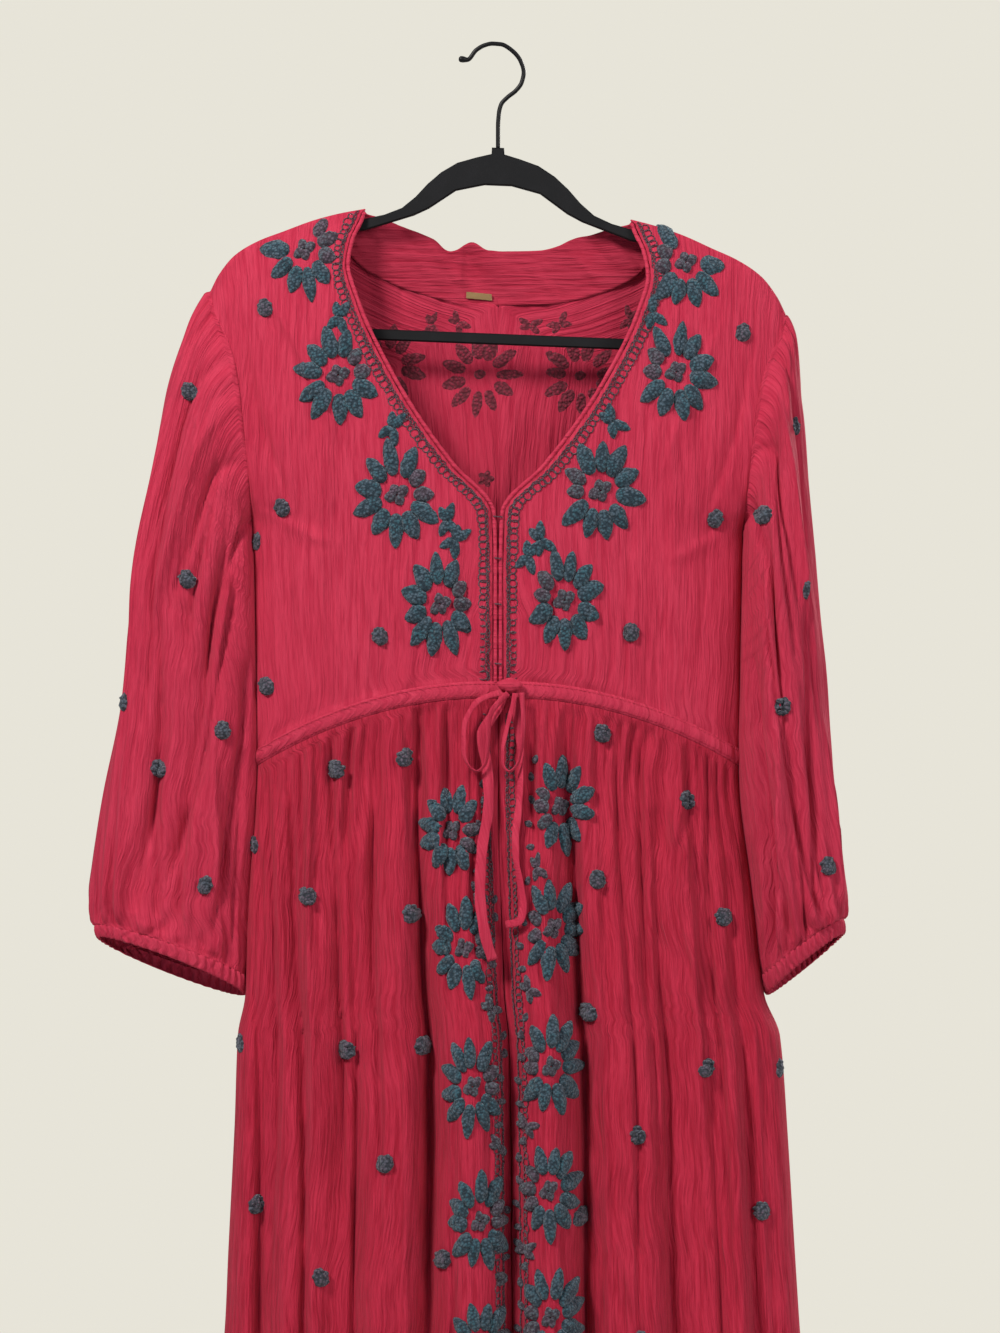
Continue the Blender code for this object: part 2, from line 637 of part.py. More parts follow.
def make_hanger():
    wire = [place(x, 0, z) for x, z in smooth_route(HOOK, HOOK_POINTS)]
    tube("hanger_hook", wire, WIRE_RADIUS, BLACK, 0.35, tip=BALL_TIP, tip_points=2)
    arm = [(x, read(SHOULDER, "z", "x", x) - HANGER_SEAT) for x in HANGER_ARM]
    half = list(zip(HANGER_CREST["x"], HANGER_CREST["z"])) + arm
    half += list(zip(HANGER_END["x"], HANGER_END["z"]))
    gap = list(zip(HANGER_GAP["x"], HANGER_GAP["z"]))
    curve = bpy.data.curves.new("hanger_body", "CURVE")
    curve.dimensions = "2D"
    curve.fill_mode = "BOTH"
    curve.extrude = (HANGER_HALF_THICK - HANGER_ROUND) * MM
    curve.bevel_depth = HANGER_ROUND * MM
    curve.bevel_resolution = 0
    curve.offset = -HANGER_ROUND * MM
    for side_points in (half, gap):
        outline = side_points + [(-x, z) for x, z in reversed(side_points)]
        spline = curve.splines.new("POLY")
        spline.use_cyclic_u = True
        spline.points.add(len(outline) - 1)
        for i, (x, z) in enumerate(outline):
            at = place(x, 0, z)
            spline.points[i].co = (at.x, at.z, 0, 1)
    body = add_object("hanger_body", curve, BLACK, 0.6)
    body.rotation_euler = (math.pi / 2, 0, 0)


def main():
    for item in list(bpy.data.objects):
        bpy.data.objects.remove(item, do_unlink=True)
    parts = bpy.data.collections.new(COLLECTION)
    bpy.context.scene.collection.children.link(parts)
    make_hanger()
    make_bodice()
    make_collar()
    make_bindings()
    make_sleeve("sleeve_left", "cuff_left", -1, SLEEVE_LEFT, CUFF_LEFT_END)
    make_sleeve("sleeve_right", "cuff_right", 1, SLEEVE_RIGHT, CUFF_RIGHT_END)
    make_casing()
    make_skirt()
    make_bow()
    make_hooks()


main()
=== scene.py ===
import math

import bmesh
import bpy
import numpy as np
from mathutils import Matrix, Vector
from mathutils.bvhtree import BVHTree


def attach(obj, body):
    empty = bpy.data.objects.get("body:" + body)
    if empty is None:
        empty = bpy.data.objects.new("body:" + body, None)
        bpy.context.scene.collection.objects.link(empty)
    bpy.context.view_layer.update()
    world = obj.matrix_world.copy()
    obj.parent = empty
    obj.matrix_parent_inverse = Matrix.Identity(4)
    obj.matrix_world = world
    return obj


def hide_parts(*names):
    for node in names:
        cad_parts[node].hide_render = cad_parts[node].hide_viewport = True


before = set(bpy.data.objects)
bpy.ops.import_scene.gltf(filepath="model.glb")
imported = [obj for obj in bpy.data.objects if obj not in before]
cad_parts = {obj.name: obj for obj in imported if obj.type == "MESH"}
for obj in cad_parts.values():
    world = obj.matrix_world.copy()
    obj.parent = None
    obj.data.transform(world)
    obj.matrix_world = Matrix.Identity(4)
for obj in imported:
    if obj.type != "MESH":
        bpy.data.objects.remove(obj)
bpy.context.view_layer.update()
mm = 0.001
print("frame loaded")

# camera: the photograph's view, one photo pixel is 0.73 mm at the dress
photo = {"tall": 1333, "wide": 1000, "perPixel": 0.73, "hangColumn": 498, "hangRow": 39}
view = {"away": 2.6, "dressPlane": -0.03, "sensor": 36.0}


def atPixel(column, row):  # a photo pixel as x, z in millimetres
    return ((column - photo["hangColumn"]) * photo["perPixel"],
            (photo["hangRow"] - row) * photo["perPixel"])


def makeCamera():
    middleX, middleZ = atPixel(photo["wide"] / 2, photo["tall"] / 2)
    data = bpy.data.cameras.new("photoCamera")
    data.sensor_fit = "VERTICAL"
    data.sensor_height = view["sensor"]
    data.lens = view["sensor"] * view["away"] / (photo["tall"] * photo["perPixel"] * mm)
    camera = bpy.data.objects.new("photoCamera", data)
    camera.location = (middleX * mm, view["dressPlane"] - view["away"], middleZ * mm)
    camera.rotation_euler = (math.pi / 2, 0, 0)
    bpy.context.scene.collection.objects.link(camera)
    bpy.context.scene.camera = camera


makeCamera()

# small helpers for tables, soft steps and noise


def tableOf(names, *rows):
    return {name: np.array([row[i] for row in rows], float) for i, name in enumerate(names.split())}


def softStep(low, high, value):
    t = np.clip((value - low) / (high - low), 0, 1)
    return t * t * (3 - 2 * t)


def slopeAt(rises, before, after):  # level where the line turns round
    a, b = rises[before], rises[after]
    turning = a * b <= 0
    return np.where(turning, 0, 2 * a * b / np.where(turning, 1, a + b))


def readAt(table, wanted, by, value):  # a smooth line through the table's rows
    xs, ys = table[by], table[wanted]
    value = np.clip(value, xs[0], xs[-1])
    rises = np.diff(ys) / np.diff(xs)
    last = len(rises) - 1
    i = np.clip(np.searchsorted(xs, value, side="right") - 1, 0, last)
    first = slopeAt(rises, np.maximum(i - 1, 0), i)
    second = slopeAt(rises, i, np.minimum(i + 1, last))
    h = xs[i + 1] - xs[i]
    t = (value - xs[i]) / h
    line = ys[i] * (1 + 2 * t) * (1 - t) ** 2 + first * h * t * (1 - t) ** 2
    return line + ys[i + 1] * t * t * (3 - 2 * t) - second * h * t * t * (1 - t)


def roundBump(offset, wide):
    return np.where(np.abs(offset) < wide, np.cos(0.5 * np.pi * offset / wide) ** 2, 0)


def lengthsAlong(line):  # how far each point lies along a line
    steps = np.linalg.norm(np.diff(line, axis=0), axis=1)
    return np.concatenate([[0], np.cumsum(steps)])


def softNoise(u, v, seed, size=97):  # smooth and repeatable, from -1 to 1
    lattice = np.random.default_rng(seed).random((size, size)) * 2 - 1
    iu, iv = np.floor(u).astype(int), np.floor(v).astype(int)
    fu, fv = softStep(0, 1, u - iu), softStep(0, 1, v - iv)

    def at(a, b):
        return lattice[(iu + a) % size, (iv + b) % size]

    low = at(0, 0) * (1 - fu) + at(1, 0) * fu
    high = at(0, 1) * (1 - fu) + at(1, 1) * fu
    return low * (1 - fv) + high * fv


# the dress's cut, in millimetres, as the frame has it
lean = {"slope": math.tan(math.radians(2.3)), "full": -200.0, "none": -500.0}
waist = {"half": 178.0, "top": -470.0, "fall": 50.0, "bow": 56.0, "tall": 10.5, "puff": 1.8}
dress = {"wall": 1.2, "seam": 0.3, "sideGap": 0.02, "armholeGap": -0.4, "closing": 0.39,
         "hem": -1370.0, "hemWave": 3.0}
shoulderLine = tableOf(
    "x z",
    (98, -124), (116, -128), (136, -134), (158, -143),
    (177, -151), (194, -162), (206, -177), (212, -189),
)
shoulderRoll = tableOf("row fall", (0, 0.0), (1, 0.6), (2, 3.0))
frontCut = tableOf(
    "row x_in z_in x_out z_out y_in y_out bow",
    (0, 98, -124, 212, -189, 0.4, 0.4, 0),
    (1, 98.3, -124.6, 212, -189.6, 4.0, 4.0, 0),
    (2, 101, -128, 211.5, -192, 5.8, 5.6, 0),
    (3, 109, -148, 208, -206, 14, 12, 16),
    (4, 112, -168, 200, -222, 20, 18, 11),
    (5, 103, -199, 191.5, -250, 26, 23, 5),
    (6, 79, -248, 187, -282, 31, 25, -2),
    (7, 59, -280, 184, -312, 33, 22, -6),
    (8, 35, -312, 182, -338, 34, 13, -6),
    (9, 5, -347, 181, -360, 34, 0.4, -4),
    (10, 4, -385, 180, -405, 34, 0.4, 4),
    (11, 4, -425, 179, -460, 33, 0.4, 10),
    (12, 4, -470, 178, -520, 32, 0.4, 14),
)
backCut = tableOf(
    "row x_in z_in x_out z_out y_in y_out bow",
    (0, 122, -130, 212, -189, 0.4, 0.4, 0),
    (1, 121.7, -130.6, 212, -189.6, 4.0, 4.0, 0),
    (2, 120, -133, 211.5, -192, 5.8, 5.6, 0),
    (3, 113, -152, 208, -206, 11, 12, 14),
    (4, 101, -165, 200, -222, 15, 18, 10),
    (5, 75, -177, 191.5, -250, 21, 23, 6),
    (6, 38, -186, 187, -282, 25, 25, 4),
    (7, 0, -189, 184, -312, 27, 22, 2),
    (8, 0, -225, 182, -338, 28, 13, 2),
    (9, 0, -268, 181, -360, 29, 0.4, 3),
    (10, 0, -330, 180, -405, 30, 0.4, 5),
    (11, 0, -400, 179, -460, 31, 0.4, 10),
    (12, 0, -470, 178, -520, 32, 0.4, 14),
)
bodiceFolds = tableOf(
    "at wide lift begins",
    (38, 12, 2.4, 330), (66, 12, -2.2, 350), (92, 14, 2.6, 300),
    (118, 12, -2.4, 330), (142, 13, 2.4, 310), (162, 10, -1.6, 360),
)
collarTop = tableOf(
    "row x z y",
    (0, 99, -124, 0.4), (1, 98.7, -124.6, 4.0), (2, 97, -127, 5.8), (3, 92, -128, 9),
    (4, 80, -131.5, 12), (5, 60, -138, 16), (6, 32, -147, 20), (7, 0, -149, 21),
)
collarRumples = tableOf("at wide lift", (-37, 12, -4.0), (-19, 12, 5.0), (58, 14, 1.6))
skirtCut = tableOf(
    "drop centre half front back",
    (470, 0, 178, 32, 32), (535, 0, 178, 32, 32), (565, 0.5, 180, 36, 36),
    (600, 1.5, 183.5, 42, 40), (650, 3, 188, 48, 46), (700, 5, 191.5, 53, 50),
    (730, 8, 200, 56, 54), (800, 9.5, 204, 60, 58), (890, 10, 209, 64, 62),
    (945, 10.5, 212, 66, 65), (1150, 10, 231, 74, 72), (1370, 10, 250, 82, 80),
)
foldPlan = {"measuredAt": 212.0, "growsOver": 260.0}
frontFolds = tableOf(
    "at wide lift begins",
    (-206, 12, 3, 800), (-184, 14, -5, 700), (-158, 20, 9, 600), (-127, 16, -9, 640),
    (-96, 22, 8, 540), (-62, 16, -10, 580), (-29, 27, 15, 500), (0, 13, -15, 540),
    (28, 26, 15, 500), (63, 17, -11, 560), (98, 24, 9, 540), (134, 17, -10, 620),
    (166, 20, 9, 590), (192, 12, -4, 720),
)
backFolds = tableOf(
    "at wide lift begins",
    (-190, 15, -5, 680), (-160, 22, 9, 590), (-124, 18, -10, 560), (-90, 20, 8, 620),
    (-58, 18, -9, 540), (-20, 26, 12, 520), (20, 18, -9, 600), (56, 22, 10, 560),
    (92, 17, -9, 630), (126, 22, 9, 540), (162, 18, -9, 590), (190, 14, 5, 700),
)
gatherPlan = {"count": 8, "lift": 2.4, "peak": 45.0, "ends": 230.0}


def placed(x, y, z):  # millimetres to metres, with the hanger's lean
    x, y, z = np.broadcast_arrays(x, y, z)
    tilt = lean["slope"] * x * softStep(lean["none"], lean["full"], z)
    return np.stack([x, y, z - tilt], axis=-1) * mm


def flatRound(s):
    return (1 - np.minimum(1, np.abs(s)) ** 2.5) ** 0.4


def waistZ(x):
    s = np.abs(x) / waist["half"]
    return waist["top"] - waist["fall"] * s + waist["bow"] * s * (1 - s)


def spacedShares(count):  # shares of a half width, closer together at the side
    q = np.linspace(0, 1, count)
    return np.where(q < 0.8, q * 0.94 / 0.8, 1 - 0.06 * ((1 - q) / 0.2) ** 2)


# a crease falls off faster on one side
bodyCrease = {"steep": 2.6, "gentle": 0.85, "ends": 0.6}
sleeveCrease = {"steep": 1.5, "gentle": 0.8, "ends": 0.7, "high": 3.0}


def oneCrease(high, away, t, shape):  # away is in widths, t runs along the crease
    away = np.where(away > 0, away * shape["steep"], away * shape["gentle"])
    return high * np.exp(-np.abs(away) ** 1.2) * np.sin(np.pi * t) ** shape["ends"]


def creaseLift(creases, x, z):
    lift = np.zeros(np.broadcast(x, z).shape)
    for k in range(len(creases["wide"])):
        topZ, lowZ = creases["topZ"][k], creases["lowZ"][k]
        t = np.clip((topZ - z) / (topZ - lowZ), 0, 1)
        spot = creases["topX"][k] * (1 - t) + creases["lowX"][k] * t
        spot = spot + creases["bend"][k] * np.sin(np.pi * t)
        away = (x - spot) / creases["wide"][k] * (-1) ** k  # the steep side alternates
        lift = lift + oneCrease(creases["lift"][k], away, t, bodyCrease)
    return lift


# creases, listed one by one: top x z, bottom x z, width, height (a ridge is above 0), bend
creaseNames = "topX topZ lowX lowZ wide lift bend"
frontBodiceCreases = tableOf(
    creaseNames,
    (-188, -205, -150, -345, 6, -2.2, -6), (-172, -190, -118, -300, 7, 1.8, 5),
    (-160, -330, -146, -495, 5, -1.8, 3), (-128, -300, -122, -480, 5, 1.6, -4),
    (-104, -360, -98, -478, 4, -1.8, 2), (-72, -390, -66, -474, 4, 1.8, 0),
    (-48, -400, -44, -472, 3.5, -1.6, 2), (-26, -380, -22, -468, 3, -1.2, 0),
    (186, -215, 150, -350, 6, -2.2, 6), (168, -195, 120, -315, 7, 1.6, -5),
    (158, -340, 150, -498, 5, -1.8, -3), (126, -290, 122, -484, 5, 1.7, 4),
    (98, -350, 96, -478, 4, -1.8, -2), (70, -380, 66, -474, 4, 1.6, 0),
    (44, -395, 40, -470, 3.5, -1.7, -2), (24, -400, 22, -468, 3, 1.2, 0),
    (-176, -345, -120, -372, 14, 1.2, 0), (176, -350, 125, -380, 14, 1.2, 0),
)
backBodiceCreases = tableOf(
    creaseNames,
    (-185, -215, -140, -350, 6, -2.2, -6), (-150, -260, -140, -490, 6, 1.8, 4),
    (-105, -300, -100, -480, 5, -1.8, 3), (-70, -330, -64, -474, 5, 1.7, -3),
    (-30, -240, -26, -468, 5, -1.6, 4), (6, -320, 4, -468, 4, 1.5, 0),
    (40, -260, 36, -470, 5, -1.8, -4), (76, -340, 72, -474, 4, 1.6, 2),
    (112, -300, 106, -480, 5, -1.8, -3), (148, -280, 140, -488, 6, 1.7, 4),
    (182, -220, 145, -345, 6, -2.0, 6),
)
frontSkirtCreases = tableOf(
    creaseNames,
    (-168, -530, -176, -900, 6, -4.6, 4), (-184, -640, -200, -1366, 8, -6.5, 5),
    (-150, -560, -158, -1366, 7, -7.5, 3), (-136, -520, -142, -820, 5, 3.0, -3),
    (-122, -505, -124, -860, 5, -4.5, 3), (-108, -600, -118, -1366, 6, -5.5, -3),
    (-90, -500, -94, -900, 5, -4.0, -2), (-60, -484, -64, -1060, 6, -8.0, 2),
    (-66, -900, -78, -1366, 7, -6.0, 3), (-76, -560, -84, -1180, 6, 3.0, 3),
    (-46, -488, -44, -700, 6, 2.4, 2), (-40, -760, -44, -1200, 4, -1.8, -2),
    (-22, -560, -14, -900, 3.5, -1.6, 2), (30, -486, 34, -760, 7, 2.4, -2),
    (54, -482, 52, -1060, 6, -8.5, 2), (54, -880, 64, -1366, 7, -6.0, -3),
    (70, -560, 76, -1240, 6, 3.2, -3), (84, -492, 90, -1000, 5, -4.2, 3),
    (104, -500, 110, -860, 5, -3.2, -3), (112, -560, 126, -1366, 7, -7.0, -3),
    (132, -506, 140, -820, 5, 3.0, 3), (142, -700, 158, -1340, 6, -4.2, 4),
    (152, -520, 162, -940, 5, -4.2, -3), (164, -600, 184, -1366, 7, -6.5, 4),
    (176, -560, 206, -1350, 6, 2.6, -4),
)
backSkirtCreases = tableOf(
    creaseNames,
    (-165, -530, -182, -1200, 7, -6.0, 5), (-140, -520, -152, -900, 5, 3.0, -4),
    (-112, -505, -130, -1366, 7, -7.0, 6), (-84, -498, -90, -820, 5, -4.0, 3),
    (-60, -490, -72, -1200, 6, 3.0, -4), (-34, -486, -36, -760, 6, -5.0, 2),
    (-12, -482, -8, -1366, 7, -6.5, 5), (20, -484, 24, -900, 5, 3.0, -3),
    (48, -488, 60, -1366, 7, -7.0, 5), (76, -494, 82, -800, 5, -4.2, -3),
    (104, -502, 122, -1330, 6, 3.0, 5), (132, -512, 142, -980, 6, -6.0, 4),
    (160, -528, 184, -1366, 7, -6.0, -5),
)


# the crushed gauze: how high each kind of wrinkle is, in mm
gauze = {"drape": 2.0, "broad": 1.5, "middle": 0.9, "ridge": 0.75, "slant": 0.7, "fine": 0.32}
# and how wide and how long, with its noise seed
gauzeWaves = {"drape": (43, 410, 7), "broad": (16, 330, 2), "middle": (7.2, 120, 3),
              "ridge": (10.5, 170, 4), "fine": (2.9, 42, 5)}
bodiceRelief = {"crease": 2.2, "foldShift": 6,
                "pucker": {"pitch": 9.5, "stray": 0.8, "wide": 30, "tall": 50, "high": 1.1}}
skirtRelief = {"crease": 2.5, "crinkle": 1.6,
               "pucker": {"pitch": 10.5, "stray": 1.1, "wide": 34, "tall": 90, "high": 1.7}}


def crinkled(x, z, seed):  # the gauze's own uneven upright wrinkles, in millimetres
    warp = 10 * softNoise(x / 70, z / 210, seed)
    sway = x + warp + 3 * softNoise(x / 24, z / 55, seed + 1)
    wave = {name: softNoise(sway / wide, z / tall, seed + more)
            for name, (wide, tall, more) in gauzeWaves.items()}
    ridge = 1 - 2.4 * np.abs(wave["ridge"])
    slant = softNoise((x + 0.34 * z) / 13, z / 85, seed + 8)
    slant = slant + softNoise((x - 0.27 * z) / 15, z / 70, seed + 9)
    alive = 0.5 + 0.5 * softNoise(x / 45, z / 75, seed + 6)
    folds = gauze["drape"] * wave["drape"] + gauze["broad"] * wave["broad"]
    folds = folds + gauze["middle"] * wave["middle"] * alive + gauze["ridge"] * ridge * alive
    return folds + gauze["slant"] * slant + gauze["fine"] * wave["fine"]


def puckered(x, z, plan):  # the small gathers beside the casing
    stray = plan["stray"] * softNoise(x / plan["wide"], z / plan["tall"], 5)
    return np.sin(2 * np.pi * (x / plan["pitch"] + stray)) * plan["high"]


def levelOf(at, s):  # the height between the two ends of a row
    return at["z_in"] + (at["z_out"] - at["z_in"]) * s + at["bow"] * 4 * s * (1 - s)


def bodice(cut, side, row, s):
    front = cut is frontCut
    row, s = np.broadcast_arrays(row, s)
    at = {name: readAt(cut, name, "row", row) for name in cut}
    x = at["x_in"] + (at["x_out"] - at["x_in"]) * s
    levelThree = levelOf({name: cut[name][3] for name in cut}, s)
    rolled = readAt(shoulderLine, "z", "x", x) - readAt(shoulderRoll, "fall", "row", row)
    turn = np.clip(row - 2, 0, 1)
    z = np.where(row < 3, rolled * (1 - turn) + levelThree * turn, levelOf(at, s))
    z = z + np.where(row > 11, (waistZ(x) + dress["seam"] - z) * (row - 11), 0)
    y = at["y_out"] + (at["y_in"] - at["y_out"]) * flatRound(x / at["x_out"])
    rise = z - waistZ(x)
    fade = softStep(0, 40, rise) * flatRound(s)
    for k, spot in enumerate(bodiceFolds["at"]):
        grow = softStep(bodiceFolds["begins"][k], 470, -z)
        shift = bodiceRelief["foldShift"] if front else 0
        shape = roundBump(x - spot - shift, bodiceFolds["wide"][k])
        y = y + bodiceFolds["lift"][k] * shape * grow * fade
    # the relief is calm at the edges, where the seams meet
    calm = softStep(0, 14, y) * softStep(0, 6, rise) * flatRound(s ** 4)
    calm = calm * softStep(0.1, 4, (s * (at["x_out"] - at["x_in"])) + 0.6)
    gather = softStep(0, 12, rise) * (1 - softStep(12, 95, rise))
    creases = frontBodiceCreases if front else backBodiceCreases
    lift = bodiceRelief["crease"] * creaseLift(creases, side * x, z)
    lift = lift + crinkled(side * x, z, 11 if front else 31)
    y = y + (lift + puckered(x, z, bodiceRelief["pucker"]) * gather) * calm
    y = y - dress["closing"] * (1 - softStep(0.4, 6, y))  # the seams close
    return placed(side * x, -y if front else y, z)


def foldLift(folds, x, drop):
    lift = 0
    for k, spot in enumerate(folds["at"]):
        grow = softStep(folds["begins"][k], folds["begins"][k] + foldPlan["growsOver"], drop)
        lift = lift + folds["lift"][k] * grow * roundBump(x - spot, folds["wide"][k])
    return lift


def gatherWave(below, s, side):  # the gathers' waves, which fade out further down
    gather = softStep(0, gatherPlan["peak"], below)
    gather = gather * (1 - softStep(gatherPlan["peak"], gatherPlan["ends"], below))
    turn = gatherPlan["count"] * s + 0.12 * np.sin(9 * s) + 0.25 * side
    return gatherPlan["lift"] * gather * np.cos(2 * np.pi * turn)


def skirt(front, side, s, v):
    top = waistZ(s * waist["half"]) - waist["tall"] - dress["seam"]
    s, v, top = np.broadcast_arrays(s, v, top)
    z = top + (dress["hem"] - top) * v
    x = side * readAt(skirtCut, "half", "drop", -z) * s
    depth = readAt(skirtCut, "front" if front else "back", "drop", -z)
    below = top - z
    lift = foldLift(frontFolds if front else backFolds, side * s * foldPlan["measuredAt"], -z)
    lift = lift + gatherWave(below, s, side)
    y = depth * flatRound(s) + lift * flatRound(s ** 3)
    near = softStep(0, 10, below) * (1 - softStep(30, 230, below))
    uneven = 1.1 + 0.9 * softNoise(x / 13, z / 160, 6)
    creases = frontSkirtCreases if front else backSkirtCreases
    fine = skirtRelief["crease"] * creaseLift(creases, x, z)
    fine = fine + skirtRelief["crinkle"] * crinkled(x, z, 51 if front else 71)
    fine = fine + puckered(x, z, skirtRelief["pucker"]) * near * uneven
    y = np.maximum(y + fine * softStep(0, 9, below) * flatRound(s ** 4), dress["sideGap"])
    if front:
        x = np.where(s == 0, side * dress["seam"], x)
    hem = dress["hemWave"] * np.sin(x / 31) * softStep(0.97, 1, v)
    x = x + readAt(skirtCut, "centre", "drop", -z)
    return placed(x, -y if front else y, z + hem)


# meshes
pieces = {}


def grainOf(grid, way):  # where each point lies on the flat cloth, in metres
    across = np.cumsum(np.linalg.norm(np.diff(grid, axis=1, prepend=grid[:, :1]), axis=2), axis=1)
    along = np.cumsum(np.linalg.norm(np.diff(grid, axis=0, prepend=grid[:1]), axis=2), axis=0)
    if way == "flared":  # the threads spread with the panel
        whole = across[:, -1:]
        return np.stack([across / whole * whole.mean(), -along], axis=-1)
    middle = grid.shape[1] // 2
    straight = across - across[:, middle:middle + 1] + grid[:, middle:middle + 1, 0]
    if way == "crosswise":
        return np.stack([grid[..., 2], straight], axis=-1)
    return np.stack([straight, grid[..., 2]], axis=-1)


def clothMesh(name, grids, closed=False, way="straight"):
    # each grid holds rows of points, left to right and top to bottom as seen from outside
    points, faces, grain = [], [], []
    start = 0
    for grid in grids:
        if closed:
            grid = np.concatenate([grid, grid[:, :1]], axis=1)
        tall, wide = grid.shape[:2]
        ids = start + np.arange(tall * wide).reshape(tall, wide)
        if closed:
            ids = np.concatenate([ids[:, :-1], ids[:, :1]], axis=1)
        a, b = ids[:-1, :-1], ids[1:, :-1]
        c, d = ids[1:, 1:], ids[:-1, 1:]
        faces.append(np.stack([a, b, c, d], axis=-1).reshape(-1, 4))
        grain.append(grainOf(grid, way).reshape(-1, 2))
        points.append(grid.reshape(-1, 3))
        start += tall * wide
    points, faces, grain = np.concatenate(points), np.concatenate(faces), np.concatenate(grain)
    used, back = np.unique(faces, return_inverse=True)
    points, grain, faces = points[used], grain[used], back.reshape(-1, 4)
    mesh = bpy.data.meshes.new(name)
    mesh.from_pydata(points.tolist(), [], faces.tolist())
    layer = mesh.uv_layers.new(name="grain")
    layer.data.foreach_set("uv", grain[faces.reshape(-1)].reshape(-1).astype(np.float32))
    mesh.shade_smooth()
    return mesh, points, faces


def addPiece(name, mesh, material, replaced=()):
    item = bpy.data.objects.new(name, mesh)
    mesh.materials.append(material)
    bpy.context.scene.collection.objects.link(item)
    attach(item, "root")
    if replaced:
        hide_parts(*replaced)
    return item


def addCloth(name, grids, material, replaced, flat, area=None,
             closed=False, wall=dress["wall"], weld=False, way="straight"):
    mesh, points, faces = clothMesh(name, grids, closed, way)
    if weld:
        bm = bmesh.new()
        bm.from_mesh(mesh)
        bmesh.ops.remove_doubles(bm, verts=bm.verts, dist=0.00002)
        bm.to_mesh(mesh)
        bm.free()
    pieces[name] = (points, faces)
    item = addPiece(name, mesh, material, replaced)
    shell = item.modifiers.new("wall", "SOLIDIFY")
    shell.thickness = wall * mm
    shell.offset = -1
    return item


def tubeMesh(route, radii, sides=8, squash=1.0, twist=None, up=Vector((0, -1, 0))):
    # rings round a route; squash flattens them, and twist turns them, in radians
    points, faces = [], []
    count = len(route)
    for i, at in enumerate(route):
        along = (route[min(i + 1, count - 1)] - route[max(i - 1, 0)]).normalized()
        flatWay = up.cross(along).normalized()
        thinWay = along.cross(flatWay).normalized()
        turn = twist[i] if twist is not None else 0.0
        r = radii[i] if hasattr(radii, "__len__") else radii
        for k in range(sides):
            a = 2 * math.pi * k / sides
            p, q = math.cos(a) * r, math.sin(a) * r * squash
            u = p * math.cos(turn) - q * math.sin(turn)
            w = p * math.sin(turn) + q * math.cos(turn)
            points.append(at + flatWay * u + thinWay * w)
    for i in range(count - 1):
        for k in range(sides):
            a, b = i * sides + k, i * sides + (k + 1) % sides
            faces.append((a, b, b + sides, a + sides))
    faces.append(tuple(range(sides - 1, -1, -1)))
    faces.append(tuple((count - 1) * sides + k for k in range(sides)))
    return points, faces


def meshOf(name, points, faces):
    mesh = bpy.data.meshes.new(name)
    mesh.from_pydata([tuple(p) for p in points], [], faces)
    bm = bmesh.new()
    bm.from_mesh(mesh)
    bmesh.ops.recalc_face_normals(bm, faces=bm.faces)
    bm.to_mesh(mesh)
    bm.free()
    mesh.shade_smooth()
    return mesh


def weaveByPlace(mesh, place):  # small pieces of cloth: place says where a vertex lies
    layer = mesh.uv_layers.new(name="grain")
    for loop in mesh.loops:
        layer.data[loop.index].uv = place(mesh.vertices[loop.vertex_index].co)


def smoothRoute(table, count):
    steps = np.hypot(np.diff(table["x"]), np.diff(table["z"]))
    along = dict(table, far=np.concatenate([[0], np.cumsum(steps)]))
    at = np.linspace(0, along["far"][-1], count)
    return readAt(along, "x", "far", at), readAt(along, "z", "far", at)


# materials: shared effects as node groups


def shaderNode(tree, kind, inputs, output=0, **settings):
    # an input is a number, a colour or another node's output
    node = tree.nodes.new("ShaderNode" + kind)
    for label, value in settings.items():
        setattr(node, label, value)
    for label, value in inputs.items():
        if isinstance(value, bpy.types.NodeSocket):
            tree.links.new(value, node.inputs[label])
        else:
            node.inputs[label].default_value = value
    return node.outputs[output]


def noiseFrom(tree, vector, scale, detail=2.0, rough=0.5, distortion=0.0):
    return shaderNode(tree, "TexNoise", {"Vector": vector, "Scale": scale, "Detail": detail,
                                         "Roughness": rough, "Distortion": distortion})


def mathNode(tree, kind, first, second):
    return shaderNode(tree, "Math", {0: first, 1: second}, operation=kind)


def remap(tree, value, low, high, outLow=0.0, outHigh=1.0):
    return shaderNode(tree, "MapRange", {"Value": value, "From Min": low, "From Max": high,
                                         "To Min": outLow, "To Max": outHigh},
                      interpolation_type="SMOOTHSTEP")


def mixColour(tree, mask, first, second):
    return shaderNode(tree, "Mix", {0: mask, 6: first, 7: second}, 2, data_type="RGBA")


def bumpFrom(tree, shader, height, strength, distance):
    made = {"Strength": strength, "Distance": distance, "Height": height}
    tree.links.new(shaderNode(tree, "Bump", made, "Normal"), shader["Normal"])


def groupOf(name, vector, numbers, masks):
    group = bpy.data.node_groups.new(name, "ShaderNodeTree")
    group.interface.new_socket(vector, in_out="INPUT", socket_type="NodeSocketVector")
    for label, value in numbers.items():
        made = group.interface.new_socket(label, in_out="INPUT", socket_type="NodeSocketFloat")
        made.default_value = value
    for label in masks:
        group.interface.new_socket(label, in_out="OUTPUT", socket_type="NodeSocketFloat")
    inside, outside = group.nodes.new("NodeGroupInput"), group.nodes.new("NodeGroupOutput")
    return group, inside.outputs, outside.inputs


# stretch, detail, roughness and distortion of each noise
crinkleNoises = {"ribs": ((760, 36, 1), 3.0, 0.6, 0.3), "pinches": ((290, 17, 1), 2.0, 0.5, 0.5),
                 "cloud": ((26, 7, 1), 3.0, 0.55, 0.2), "threads": ((2600, 900, 1), 1.0, 0.5, 0.0)}


